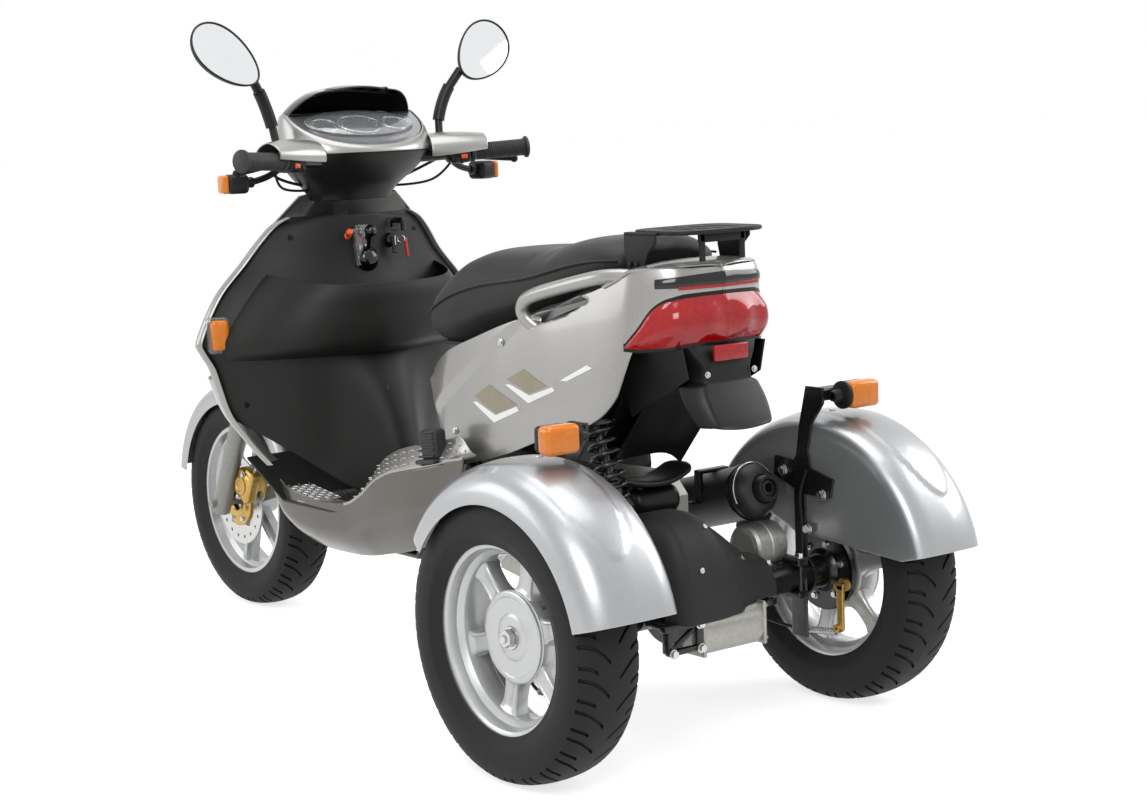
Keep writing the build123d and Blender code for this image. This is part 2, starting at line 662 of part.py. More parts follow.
# ---------------------------------------------------------------- floor and skirts
FLOOR_HALF = 230.0
FLOOR_TOP = 330.0
SHEET = 4.0
RISER_HALF = 132.0
with BuildPart() as floorboard:
    with BuildSketch(side_plane(-FLOOR_HALF)):
        with BuildLine():
            top = Polyline((-1128, 402), (-990, FLOOR_TOP), (-640, FLOOR_TOP), (-612, 346))
            Polyline(top @ 1, (-612, 346 - 1.3 * SHEET), (-640, FLOOR_TOP - SHEET), (-990, FLOOR_TOP - SHEET),
                     (-1128, 402 - 1.2 * SHEET), top @ 0)
        make_face()
    extrude(amount=2 * FLOOR_HALF)
    # riser below the seat nose
    with BuildSketch(side_plane(-RISER_HALF)):
        with BuildLine():
            rise = Polyline((-613, 340), (-566, 440), (-552, 510), (-578, 590), (-572, 600))
            Polyline(rise @ 1, (-568, 597), (-573, 590), (-547, 510), (-561, 440), (-608, 340), rise @ 0)
        make_face()
    extrude(amount=2 * RISER_HALF)
    # clearance for the frame's down tube
    with BuildSketch(deck_plane(300)):
        with Locations((0, -1060)):
            Rectangle(54, 150)
    extrude(amount=120, mode=Mode.SUBTRACT)
    # cross ribs that rest on the frame tubes
    for y in (-960, -860, -760, -670):
        with BuildSketch(side_plane(-FLOOR_HALF + 20)):
            with Locations((y, (FLOOR_TOP - 1 + FLOOR_TUBE_Z + TUBE_R + 0.3) / 2)):
                Rectangle(6, FLOOR_TOP - 1 - FLOOR_TUBE_Z - TUBE_R - 0.3)
        extrude(amount=2 * FLOOR_HALF - 40)
save(floorboard.part, "floorboard")

with BuildPart() as left_pads:
    with BuildSketch(deck_plane(FLOOR_TOP + 0.3)):
        with Locations((FLOOR_HALF - 36, -800)):
            RectangleRounded(62, 300, 8)
    extrude(amount=3)
save(mirrored(left_pads.part), "foot_pads")

with BuildPart() as left_skirt:
    lean = Plane(origin=at(FLOOR_HALF + 2.2, 0, 334), x_dir=(0, 1, 0), z_dir=(1, 0, -0.22))
    with BuildSketch(lean):
        with BuildLine():
            Polyline((-1160, 66), (-1128, 74), (-990, 0), (-640, 0), (-600, 60), (-540, 96), (-345, 112),
                     (-245, 158), (-330, 60), (-530, -66), (-741, -88), (-948, -86), (-1080, -32), close=True)
        make_face()
    extrude(amount=SHEET)
save(mirrored(left_skirt.part), "side_skirts")


def curved_wall(sections, wall):
    """Upright sheet lofted through arcs. Each row: z, half width, station of its ends, station at x=0."""
    faces = []
    for z, half, y_end, y_mid in sections:
        with BuildSketch(deck_plane(z)) as slice_:
            with BuildLine():
                back = ThreePointArc((half, y_end), (0, y_mid), (-half, y_end))
                shift = wall if y_mid < y_end else -wall
                front = ThreePointArc((-half + wall, y_end), (0, y_mid + shift), (half - wall, y_end))
                Line(back @ 1, front @ 0)
                Line(front @ 1, back @ 0)
            make_face()
        faces.append(slice_.sketch.face())
    with BuildPart() as made:
        loft(faces, ruled=True)
    return made.part


# ---------------------------------------------------------------- leg shield and apron
SHIELD = (
    (333, 180, -1014, -955),
    (405, 258, -1066, -958),
    (560, 292, -1097, -956),
    (740, 292, -1097, -985),
    (840, 244, -1078, -1002),
    (892, 178, -1062, -1006),
)
POCKET = (
    (586, 240, -1050, -960),
    (650, 270, -1072, -915),
    (764, 288, -1092, -882),
)
APRON = (
    (530, 286, -1091.6, -1330),
    (560, 292, -1097.6, -1345),
    (650, 292, -1097.6, -1372),
    (740, 292, -1097.6, -1352),
    (840, 244, -1078.6, -1282),
    (892, 178, -1062.6, -1226),
    (934, 120, -1052.6, -1166),
)
ARCH_HALF = 156.0
ARCH_TOP = 650.0
with BuildPart() as leg_shield:
    add(curved_wall(SHIELD, SHEET))
    add(curved_wall(POCKET, SHEET))
    for reach, drop, mode in ((62, 0, Mode.ADD), (62 - SHEET, SHEET, Mode.SUBTRACT)):
        with BuildSketch(side_plane(-reach)):
            with BuildLine():
                Polyline((-957, FLOOR_TOP + 0.3), (-846 - drop, FLOOR_TOP + 0.3), (-860 - drop, 430),
                         (-930 - drop, 584 - drop), (-957, 584 - drop), close=True)
            make_face()
        extrude(amount=2 * reach, mode=mode)
    # lower edge trimmed to the floor
    with BuildSketch(side_plane(-300)):
        with BuildLine():
            Polyline((-1300, 490.4), (-990, FLOOR_TOP + 0.3), (-700, FLOOR_TOP + 0.3), (-700, 200), (-1300, 200),
                     close=True)
        make_face()
    extrude(amount=600, mode=Mode.SUBTRACT)
save(leg_shield.part, "leg_shield")
with BuildPart() as front_apron:
    add(curved_wall(APRON, SHEET))
    # arch over the fork
    with BuildSketch(Plane(origin=at(0, -1150, 0), x_dir=(1, 0, 0), z_dir=(0, -1, 0))):
        with Locations((0, 560)):
            RectangleRounded(2 * ARCH_HALF, 2 * (ARCH_TOP - 560), 40)
    extrude(amount=300, mode=Mode.SUBTRACT)
save(front_apron.part, "front_apron")

with BuildPart() as left_front_signal:
    lens = Plane(origin=at(277.6, -1172, 652), x_dir=(0.316, 0.949, 0), z_dir=(0.949, -0.316, 0))
    with BuildSketch(lens.offset(0.5)):
        RectangleRounded(66, 36, 14)
    extrude(amount=12, taper=10)
turn_signals = [left_signal.part, left_front_signal.part]
save(Compound(turn_signals + [lamp.mirror(Plane.YZ) for lamp in turn_signals]), "turn_signals")

with BuildPart() as control_levers:
    with BuildSketch(side_plane(-12)):
        with BuildLine():
            Polyline((-1001, 868), (-984, 866), (-976, 800), (-985, 790), (-990, 800), close=True)
        make_face()
    extrude(amount=26)
    add(rod(at(1, -985, 815), at(4, -958, 858), 4))
    with Locations(at(4, -956, 862)):
        Sphere(11)
    add(rod(at(-62, -999, 833), at(-62, -972, 838), 13))
    with BuildSketch(side_plane(-86)):
        with BuildLine():
            Polyline((-1003, 876), (-960, 880), (-954, 858), (-964, 856), (-970, 868), (-1002, 866), close=True)
        make_face()
    extrude(amount=14)
save(control_levers.part, "control_levers")

# ---------------------------------------------------------------- fork
LEG_X = 93.0
CROWN_W = -236.0
FRONT_FENDER_R = 264.0
FRONT_FENDER_HALF = 68.0
V0 = AXLE_LOCAL.Y
W0 = AXLE_LOCAL.Z
with BuildPart() as fork:
    with BuildSketch(STEER.offset(CROWN_W)):
        Circle(STEM_R)
    extrude(amount=44 - CROWN_W)
    with BuildSketch(STEER.offset(CROWN_W)):
        with Locations((0, V0 / 2)):
            RectangleRounded(2 * LEG_X + 48, 58 - V0, 20)
    extrude(amount=22)
    for x in (-LEG_X, LEG_X):
        for radius, low, high in ((17, -560, CROWN_W + 26), (21, W0 - 20, -540)):
            with BuildSketch(STEER.offset(low)):
                with Locations((x, V0)):
                    Circle(radius)
            extrude(amount=high - low)
        # peg that holds the fender
        add(rod(on_steer(x, V0, W0 + 225), on_steer(x * (FRONT_FENDER_HALF + 0.4) / LEG_X, V0, W0 + 225), 7))
    with BuildSketch(side_plane(-LEG_X - 30)):
        with Locations((-WHEELBASE, FRONT_TYRE_R)):
            Circle(AXLE_R)
    extrude(amount=2 * LEG_X + 60)
save(fork.part, "fork")

hoop = Plane(
    origin=at(0, -WHEELBASE, FRONT_TYRE_R),
    x_dir=(1, 0, 0),
    z_dir=(0, -sin(radians(28)), cos(radians(28))),
)
with BuildPart() as front_fender:
    for inset, mode in ((0, Mode.ADD), (FENDER_WALL, Mode.SUBTRACT)):
        with BuildSketch(hoop) as section:
            with BuildLine():
                half, top = FRONT_FENDER_HALF - inset, FRONT_FENDER_R - inset
                low = 205 - 4 * inset
                Polyline((-half, low), (half, low), (half, top), (-half, top), close=True)
            make_face()
            fillet(section.vertices().group_by(Axis.Z)[-1], 26 - inset)
        revolve(axis=Axis(hoop.origin, (1, 0, 0)), revolution_arc=140, mode=mode)
save(front_fender.part, "front_fender")

with BuildPart() as brake_caliper:
    block = Plane(origin=at(36, -WHEELBASE, FRONT_TYRE_R), x_dir=(0, 0.87, 0.5), z_dir=(1, 0, 0))
    with BuildSketch(block):
        with Locations((93, 0)):
            RectangleRounded(50, 84, 8)
    extrude(amount=LEG_X - 36)
    with BuildSketch(block.offset(6.5)):
        with Locations((80, 0)):
            Rectangle(50, 90)
    extrude(amount=11, mode=Mode.SUBTRACT)
    with BuildPart(mode=Mode.SUBTRACT):
        with BuildSketch(STEER.offset(W0 - 30)):
            with Locations((LEG_X, V0)):
                Circle(21.3)
        extrude(amount=300)
save(brake_caliper.part, "brake_caliper")

# ---------------------------------------------------------------- handlebar
BAR_R = 11.0
BAR_END = (336, -887, 1014)
BAR_KNEE = (150, -955, 1004)
bar_dir = Vector(*BAR_END) - Vector(*BAR_KNEE)
bar_line = Plane(origin=at(*BAR_KNEE), x_dir=(0, 0, 1), z_dir=bar_dir)
bar_len = bar_dir.length
with BuildPart() as handlebar:
    add(tube([at(-336, -887, 1014), at(-150, -955, 1004), at(0, -1000, 1000), at(150, -955, 1004),
              at(*BAR_END)], BAR_R, 60))
    add(tube([on_steer(0, 0, 44.3), on_steer(0, 0, 76), at(0, -1000, 1000)], 14, 18))
    # stay that carries the handle cover
    add(rod(at(0, -1030, 985), at(0, -1124, 985), 6))
save(handlebar.part, "handlebar")


def on_bar(radius, start, length, bore):
    """Sleeve round the left half of the bar, from a distance past its knee."""
    with BuildPart() as made:
        with BuildSketch(bar_line.offset(start)):
            Circle(radius)
            Circle(bore, mode=Mode.SUBTRACT)
        extrude(amount=length)
    return made.part


GRIP_LEN = 122.0
BAR_FIT = 0.3
grip_start = bar_len - GRIP_LEN + 4
left_grip = on_bar(16.5, grip_start, GRIP_LEN - 6, BAR_R + BAR_FIT) + on_bar(21, bar_len - 2, 6, BAR_R + BAR_FIT)
save(mirrored(left_grip), "grips")
left_switch = on_bar(24, grip_start - 48, 44, BAR_R + BAR_FIT)

with BuildPart() as left_lever:
    add(left_switch)
    perch = Plane(origin=at(196, -972, 998), x_dir=(1, 0.36, 0), z_dir=(0, 0, 1))
    with BuildSketch(perch):
        Rectangle(30, 44)
    extrude(amount=14)
    add(rod(at(150, -955, 1004), at(336, -887, 1014), BAR_R + BAR_FIT), mode=Mode.SUBTRACT)
    add(tube([at(196, -972, 1005), at(236, -962, 1000), at(330, -922, 990)], 5, 30))
    with Locations(at(332, -921, 990)):
        Sphere(8)
save(mirrored(left_lever.part), "hand_controls")

with BuildPart() as left_mirror:
    add(tube([at(196, -986, 1014.4), at(196, -1008, 1090), at(262, -996, 1160), at(300, -988, 1206)], 7, 14))
    head = Plane(origin=at(310, -984, 1229), x_dir=(0.78, -0.15, 0.61), z_dir=(-0.12, 0.95, 0.29))
    with BuildSketch(head.offset(-20)):
        Ellipse(46, 32)
    with BuildSketch(head):
        Ellipse(66, 48)
    loft()
    with BuildSketch(head):
        Ellipse(66, 48)
    extrude(amount=5)
save(mirrored(left_mirror.part), "mirrors")

with BuildPart() as left_bar_signal:
    with BuildSketch(Plane(origin=at(306, -1010, 968), x_dir=(1, 0, 0), z_dir=(0, 1, 0))):
        RectangleRounded(54, 40, 14)
    extrude(amount=34)
    add(tube([at(294, -990, 968), at(240, -984, 974), at(200, -968, 993.2)], 5, 30))
save(mirrored(left_bar_signal.part), "handlebar_signals")

# ---------------------------------------------------------------- handlebar cover
COVER = ((922, 86, 60, -1047), (945, 103, 72, -1046), (985, 146, 98, -1032), (1018, 164, 116, -1022))
UPPER = ((1018.4, 166, 118, -1022), (1052, 158, 106, -1026), (1088, 120, 70, -1044))


def oval_shell(sections, wall):
    """Open-ended sleeve lofted through ovals. Each row: z, half width, half depth, station of centre."""
    walls = []
    for inset in (0, wall):
        faces = []
        for z, half, deep, y in sections:
            with BuildSketch(deck_plane(z)) as slice_:
                with Locations((0, y)):
                    Ellipse(half - inset, deep - inset)
            faces.append(slice_.sketch.face())
        with BuildPart() as made:
            loft(faces)
        walls.append(made.part)
    return walls[0] - walls[1]


with BuildPart() as handle_cover:
    add(oval_shell(COVER, 3.5))
    for side in (1, -1):
        add(rod(at(side * 60, -986, 1001.3), at(side * 190, -938, 1006), BAR_R + 8), mode=Mode.SUBTRACT)
save(handle_cover.part, "handle_cover")

dash = Plane(origin=at(0, -980, 1066), x_dir=(1, 0, 0), z_dir=(0, 0.5, 0.866))
with BuildPart() as handle_top:
    add(oval_shell(UPPER, 3.5))
    with BuildSketch(dash):
        Rectangle(500, 500)
    extrude(amount=200, mode=Mode.SUBTRACT)
save(handle_top.part, "handle_cover_top")

with BuildPart() as instrument_panel:
    with BuildSketch(dash.offset(0.3)):
        with Locations((0, -32)):
            Ellipse(134, 62)
    extrude(amount=8)
save(instrument_panel.part, "instrument_panel")

VISOR = ((1076, 146, -1052, -1138), (1118, 124, -1024, -1118), (1150, 96, -1006, -1082))
with BuildPart() as visor:
    add(curved_wall(VISOR, 3))
    with Locations(at(0, -1129.9, 1078)):
        Box(16, 15, 4)
save(visor.part, "visor")

with BuildPart() as headlight:
    with BuildSketch(Plane(origin=at(0, -1140.4, 1002), x_dir=(1, 0, 0), z_dir=(0, -1, 0))):
        RectangleRounded(150, 62, 26)
    extrude(amount=16, taper=20)
save(headlight.part, "headlight")
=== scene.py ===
"""Motorised trike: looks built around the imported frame.

Lengths are millimetres in the trike's own frame until put() turns them into metres: x to the rider's left,
y backwards with 0 at the rear axle, z up from the floor."""

import math

import bpy
from mathutils import Matrix, Vector


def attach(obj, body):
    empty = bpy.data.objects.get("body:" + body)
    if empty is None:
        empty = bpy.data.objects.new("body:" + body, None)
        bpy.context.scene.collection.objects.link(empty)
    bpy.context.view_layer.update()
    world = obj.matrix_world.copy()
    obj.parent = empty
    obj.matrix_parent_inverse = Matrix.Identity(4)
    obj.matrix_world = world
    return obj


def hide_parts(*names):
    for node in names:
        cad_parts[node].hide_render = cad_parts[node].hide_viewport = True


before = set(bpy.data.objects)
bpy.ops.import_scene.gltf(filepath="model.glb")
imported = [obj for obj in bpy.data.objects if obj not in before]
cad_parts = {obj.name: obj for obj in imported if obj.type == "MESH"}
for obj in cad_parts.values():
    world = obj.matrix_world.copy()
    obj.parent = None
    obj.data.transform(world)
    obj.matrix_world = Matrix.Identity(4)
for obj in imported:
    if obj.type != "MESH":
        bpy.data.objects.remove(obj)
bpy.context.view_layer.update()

MM = 0.001
REAR_AXLE_Y = 721.8368
WHEELBASE = 1500.0
HALF_TRACK = 364.0
REAR_R, REAR_W, REAR_RIM = 243.0, 130.0, 165.0
FRONT_R, FRONT_W, FRONT_RIM = 242.0, 112.0, 175.0


def put(x, y, z):
    """A place in millimetres from the rear axle's foot, as a vector in metres."""
    return Vector((x * MM, (y + REAR_AXLE_Y) * MM, z * MM))


def stations(place):
    """The reverse of put(): a vector in metres as millimetres from the rear axle's foot."""
    return (place.x / MM, place.y / MM - REAR_AXLE_Y, place.z / MM)


# ---------------------------------------------------------------- materials

def linear(code):
    """An sRGB hex colour as a linear RGBA list."""
    parts = [int(code[i:i + 2], 16) / 255 for i in (1, 3, 5)]
    return [c / 12.92 if c <= 0.04045 else ((c + 0.055) / 1.055) ** 2.4 for c in parts] + [1.0]


def add_node(tree, kind, settings=(), links=()):
    """Adds a node, sets its properties and sockets, and links the given outputs into it."""
    made = tree.nodes.new(kind)
    for name, value in settings:
        if isinstance(name, str) and hasattr(made, name):
            setattr(made, name, value)
        else:
            made.inputs[name].default_value = value
    for source, socket in links:
        tree.links.new(source, made.inputs[socket])
    return made


def surface(name, dark, light, mottle, rough, grain, depth, **shader):
    """A finish: two colours mixed in patches of `mottle` mm, a roughness range that follows the same patches,
    and a grain of `grain` mm pressed `depth` mm deep. The rest goes on the shader's own sockets."""
    made = bpy.data.materials.new(name)
    made.use_nodes = True
    tree = made.node_tree
    tree.nodes.clear()
    where = add_node(tree, "ShaderNodeTexCoord")
    patches = add_node(tree, "ShaderNodeTexNoise", [("Scale", 1 / (mottle * MM)), ("Detail", 5.0)],
                       [(where.outputs["Object"], "Vector")])
    colour = add_node(tree, "ShaderNodeMix", [("data_type", "RGBA"), (6, linear(dark)), (7, linear(light))],
                      [(patches.outputs["Fac"], 0)])
    roughness = add_node(tree, "ShaderNodeMapRange", [("To Min", rough[0]), ("To Max", rough[1])],
                         [(patches.outputs["Fac"], "Value")])
    fine = add_node(tree, "ShaderNodeTexNoise", [("Scale", 1 / (grain * MM)), ("Detail", 3.0)],
                    [(where.outputs["Object"], "Vector")])
    bump = add_node(tree, "ShaderNodeBump", [("Strength", 0.6), ("Distance", depth * MM)],
                    [(fine.outputs["Fac"], "Height")])
    shaded = add_node(tree, "ShaderNodeBsdfPrincipled", list(shader.items()),
                      [(colour.outputs[2], "Base Color"), (roughness.outputs[0], "Roughness"),
                       (bump.outputs[0], "Normal")])
    add_node(tree, "ShaderNodeOutputMaterial", (), [(shaded.outputs[0], "Surface")])
    return made


def paint(name, dark, light, **extra):
    """Metallic paint under clear lacquer: flakes catch the light as a fine sparkle."""
    return surface(name, dark, light, 2.2, (0.30, 0.42), 0.9, 0.015, **extra)


COAT = {"Coat Weight": 0.7, "Coat Roughness": 0.08}
# Silver basecoat and lacquer on moulded ABS, warm on the body and cooler on the steel fenders.
BODY_SILVER = paint("silver_basecoat_on_moulded_abs", "#868583", "#9F9E9B", Metallic=0.72, **COAT)
FENDER_SILVER = paint("silver_basecoat_on_pressed_steel", "#96989A", "#B0B2B4", Metallic=0.78, **COAT)
# Warm grey metallic on the sill panels: darker, with the same lacquer.
SILL_GREY = paint("taupe_metallic_on_moulded_abs", "#403C36", "#524D46", Metallic=0.6, **COAT)
# Unpainted polypropylene with a fine spark-eroded grain: deep grey-black, broad soft highlights.
SHIELD_BLACK = surface("black_polypropylene_fine_grain", "#141312", "#1D1C1B", 60, (0.42, 0.55), 0.7, 0.05,
                       **{"Specular IOR Level": 0.25})
# The same resin left smoother on the handle cover and mudguard.
COVER_BLACK = surface("black_abs_satin", "#111110", "#191818", 50, (0.34, 0.46), 0.8, 0.03,
                       **{"Specular IOR Level": 0.25})
# High gloss ABS straight from a polished tool.
GLOSS_BLACK = surface("black_abs_polished", "#070707", "#0D0D0D", 80, (0.08, 0.14), 3.0, 0.01)
# Frame tubes: stoving enamel over welded steel, slight orange peel.
ENAMEL = surface("black_stoving_enamel_on_steel", "#0B0B0B", "#151514", 30, (0.22, 0.34), 2.5, 0.05)
# Powder coat on brackets: pebbly and duller.
POWDER = surface("black_powder_coat", "#0C0C0C", "#161615", 14, (0.45, 0.6), 1.0, 0.06,
                       **{"Specular IOR Level": 0.25})
# Shroud over the axle: charcoal nylon, dusty and matt.
CHARCOAL = surface("charcoal_glass_filled_nylon", "#1F1F1F", "#2B2B2A", 40, (0.5, 0.65), 1.1, 0.08,
                       **{"Specular IOR Level": 0.25})
# Vulcanised tyre rubber: dark grey bloom in patches, matt.
RUBBER = surface("vulcanised_tyre_rubber", "#121213", "#1D1D1E", 18, (0.55, 0.72), 0.8, 0.05,
                       **{"Specular IOR Level": 0.25})
GRIP_RUBBER = surface("moulded_grip_rubber", "#0F0F0F", "#1A1A1A", 9, (0.5, 0.62), 0.8, 0.06)
# Cast aluminium with silver lacquer: softly sparkling, low contrast.
WHEEL_SILVER = surface("silver_lacquer_on_cast_aluminium", "#ADAEAF", "#C6C7C7", 3.0, (0.32, 0.44), 1.2, 0.03,
                       Metallic=0.55, **COAT)
# Raw pressure-die-cast aluminium: dull, grainy, with darker pockets.
RAW_CAST = surface("raw_die_cast_aluminium", "#8C8B87", "#B2B1AC", 7, (0.38, 0.6), 1.0, 0.12, Metallic=0.9)
# Steel machined or rolled bright.
BRIGHT_STEEL = surface("bright_rolled_steel", "#A9A9A8", "#D2D2D0", 10, (0.18, 0.34), 0.8, 0.02, Metallic=1.0)
# Yellow-passivated zinc on steel: brass-like with rainbow patches.
GOLD_ZINC = surface("yellow_passivated_zinc_on_steel", "#A8803A", "#CDB06A", 9, (0.28, 0.42), 1.0, 0.03,
                    Metallic=0.9)
# Heat-resistant black on the silencer: dry and slightly chalky.
SILENCER = surface("heat_resistant_black_on_steel", "#1D1D1D", "#2D2D2C", 12, (0.4, 0.56), 0.9, 0.06,
                   Metallic=0.3)
FORK_GREY = surface("grey_lacquer_on_cast_fork", "#7C7C7A", "#9B9B98", 6, (0.35, 0.5), 1.0, 0.05,
                    Metallic=0.5)
# Transparent dyed acrylic lamp lenses. On the red lens the strong dark and bright red patches are painted
# facet highlights and painted shade over the red dye.
RED_LENS_PAINTED_FACET_GLINTS = surface("red_acrylic_lens_painted_facet_glints", "#8E0810", "#D8141E", 9, (0.06, 0.12), 4.0, 0.02,
                   **{"Transmission Weight": 0.25, "IOR": 1.49})
ORANGE_LENS = surface("orange_acrylic_lens", "#F07808", "#FF9A20", 9, (0.06, 0.12), 4.0, 0.02,
                      **{"Transmission Weight": 0.25, "IOR": 1.49})
CLEAR_LENS = surface("clear_polycarbonate_lens", "#E8ECEE", "#F6F8F9", 40, (0.03, 0.07), 8.0, 0.01,
                     **{"Transmission Weight": 0.9, "IOR": 1.58})
SMOKED = surface("smoked_polycarbonate", "#0B0A0B", "#171314", 60, (0.05, 0.1), 8.0, 0.01,
                 **{"Transmission Weight": 0.2, "IOR": 1.58})
# Vinyl-coated cloth over foam: leather grain, soft sheen.
SEAT_VINYL = surface("black_expanded_vinyl", "#111110", "#1A1918", 30, (0.45, 0.58), 1.6, 0.16,
                     **{"Specular IOR Level": 0.25, "Sheen Weight": 0.1})
PLATE = surface("tread_plate_aluminium", "#A5A5A4", "#C4C4C3", 9, (0.25, 0.4), 3.0, 0.2, Metallic=0.95)
MIRROR = surface("silvered_mirror_glass", "#E4E7E8", "#EEF0F1", 90, (0.01, 0.02), 9.0, 0.001, Metallic=1.0)

NODE_FINISH = {
    "main_frame": ENAMEL, "rear_axle": ENAMEL, "signal_brackets": ENAMEL, "handlebar": ENAMEL,
    "gearbox": RAW_CAST, "engine": RAW_CAST, "diff_cover": CHARCOAL, "muffler": SILENCER,
    "shock_absorbers": ENAMEL, "rear_fender_left": FENDER_SILVER, "rear_fender_right": FENDER_SILVER,
    "tail_body": BODY_SILVER, "tail_light": RED_LENS_PAINTED_FACET_GLINTS, "turn_signals": ORANGE_LENS,
    "handlebar_signals": ORANGE_LENS, "rear_mudguard": COVER_BLACK, "luggage_rack": POWDER,
    "storage_bucket": COVER_BLACK, "seat_cushion": SEAT_VINYL, "seat_base": COVER_BLACK,
    "floorboard": SHIELD_BLACK, "foot_pads": PLATE, "side_skirts": SILL_GREY, "leg_shield": SHIELD_BLACK,
    "front_apron": BODY_SILVER, "control_levers": GLOSS_BLACK, "fork": FORK_GREY,
    "front_fender": FENDER_SILVER, "brake_caliper": GOLD_ZINC, "brake_disc": BRIGHT_STEEL,
    "grips": GRIP_RUBBER, "hand_controls": COVER_BLACK, "mirrors": COVER_BLACK,
    "handle_cover": COVER_BLACK, "handle_cover_top": BODY_SILVER, "instrument_panel": CLEAR_LENS,
    "visor": SMOKED, "headlight": CLEAR_LENS, "front_rim": WHEEL_SILVER, "rear_rim_left": WHEEL_SILVER,
    "rear_rim_right": WHEEL_SILVER, "front_tyre": RUBBER, "rear_tyre_left": RUBBER, "rear_tyre_right": RUBBER,
}
for node_name, finish in NODE_FINISH.items():
    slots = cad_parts[node_name].material_slots
    for slot in slots:
        slot.material = finish


# ---------------------------------------------------------------- shaping tools

def deselect():
    """Object mode, with nothing selected."""
    if bpy.context.object and bpy.context.object.mode != "OBJECT":
        bpy.ops.object.mode_set(mode="OBJECT")
    bpy.ops.object.select_all(action="DESELECT")


def only(piece):
    """The piece alone selected and active."""
    deselect()
    piece.select_set(True)
    bpy.context.view_layer.objects.active = piece


def apply(piece, kind, **settings):
    """Adds a modifier with its settings and applies it."""
    only(piece)
    made = piece.modifiers.new(kind.lower(), kind)
    for name, value in settings.items():
        setattr(made, name, value)
    bpy.ops.object.modifier_apply(modifier=made.name)


def smooth(piece, angle=35):
    """Smooth shading, with edges sharper than `angle` degrees left crisp."""
    only(piece)
    bpy.ops.object.shade_smooth_by_angle(angle=math.radians(angle))


def outwards(piece, merge=0.00002):
    """Merges doubles and turns every face outwards."""
    only(piece)
    bpy.ops.object.mode_set(mode="EDIT")
    bpy.ops.mesh.select_all(action="SELECT")
    bpy.ops.mesh.remove_doubles(threshold=merge)
    bpy.ops.mesh.normals_make_consistent(inside=False)
    bpy.ops.object.mode_set(mode="OBJECT")


def settle(piece, name, body, finish, replaces=()):
    """Names a finished piece, gives it its finish and body, and hides what it stands for."""
    only(piece)
    bpy.ops.object.transform_apply(location=True, rotation=True, scale=True)
    piece.name = name
    piece.data.materials.clear()
    for one in finish if isinstance(finish, (list, tuple)) else [finish]:
        piece.data.materials.append(one)
    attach(piece, body)
    if replaces:
        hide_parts(*([replaces] if isinstance(replaces, str) else replaces))
    return piece


def mesh_of(name, points, faces=(), edges=()):
    """A mesh object from points in metres, with its faces or edges."""
    data = bpy.data.meshes.new(name)
    data.from_pydata([tuple(p) for p in points], list(edges), list(faces))
    data.update()
    made = bpy.data.objects.new(name, data)
    bpy.context.scene.collection.objects.link(made)
    return made


def skin(name, point, across, along, closed=False):
    """A surface from point(u, v) with u and v from 0 to 1; closed joins the last column to the first."""
    columns = across if closed else across + 1
    points = [point(i / across, j / along) for j in range(along + 1) for i in range(columns)]
    faces = []
    for j in range(along):
        for i in range(across):
            a, b = j * columns + i, j * columns + (i + 1) % columns
            faces.append((a, b, b + columns, a + columns))
    return mesh_of(name, points, faces)


def turned(name, profile, centre, axis, steps=96, angle=2 * math.pi, shear=None):
    """Spins a profile of (along the axis, radius, optional turn) pairs round an axis through centre."""
    axis = Vector(axis).normalized()
    side = axis.orthogonal().normalized() if abs(axis.x) < 0.9 else Vector((0, 0, 1))
    points = []
    for along, radius in profile:
        arm = Matrix.Rotation(shear(along) if shear else 0.0, 3, axis) @ side
        points.append(centre + axis * along * MM + arm * radius * MM)
    made = mesh_of(name, points, edges=[(i, i + 1) for i in range(len(points) - 1)])
    only(made)
    bpy.ops.object.mode_set(mode="EDIT")
    bpy.ops.mesh.select_all(action="SELECT")
    bpy.ops.mesh.spin(steps=steps, angle=angle, center=centre, axis=axis)
    bpy.ops.mesh.select_all(action="SELECT")
    bpy.ops.mesh.remove_doubles(threshold=0.00002)
    bpy.ops.mesh.normals_make_consistent(inside=False)
    bpy.ops.object.mode_set(mode="OBJECT")
    return made


def pick(piece, test):
    """Enters edit mode with the faces selected whose centre and normal pass the test."""
    only(piece)
    for part in (piece.data.vertices, piece.data.edges):
        part.foreach_set("select", [False] * len(part))
    piece.data.polygons.foreach_set("select", [bool(test(f.center, f.normal)) for f in piece.data.polygons])
    bpy.ops.object.mode_set(mode="EDIT")
    bpy.ops.mesh.select_mode(type="FACE")


def block(size, place, turn=None, bevel=2.0, segments=3):
    """A block of the given size with rounded edges."""
    deselect()
    bpy.ops.mesh.primitive_cube_add(size=1, location=place)
    made = bpy.context.object
    made.scale = Vector(size) * MM
    if turn is not None:
        made.rotation_euler = turn
    bpy.ops.object.transform_apply(location=False, rotation=False, scale=True)
    apply(made, "BEVEL", width=bevel * MM, segments=segments, limit_method="ANGLE")
    only(made)
    bpy.ops.object.transform_apply(location=True, rotation=True, scale=True)
    return made


def pipe(name, route, radius, resolution=10):
    """A round tube along a smooth route of millimetre points."""
    curve = bpy.data.curves.new(name, "CURVE")
    curve.dimensions = "3D"
    curve.bevel_depth = radius * MM
    curve.bevel_resolution = 5
    curve.use_fill_caps = True
    curve.resolution_u = resolution
    line = curve.splines.new("NURBS")
    line.points.add(len(route) - 1)
    for point, place in zip(line.points, route):
        point.co = (*put(*place), 1.0)
    line.order_u = 3
    line.use_endpoint_u = True
    made = bpy.data.objects.new(name, curve)
    bpy.context.scene.collection.objects.link(made)
    only(made)
    bpy.ops.object.convert(target="MESH")
    return bpy.context.object


def joined(pieces):
    """The pieces as one object, the first of them."""
    deselect()
    for one in pieces:
        one.select_set(True)
    bpy.context.view_layer.objects.active = pieces[0]
    bpy.ops.object.join()
    return bpy.context.object


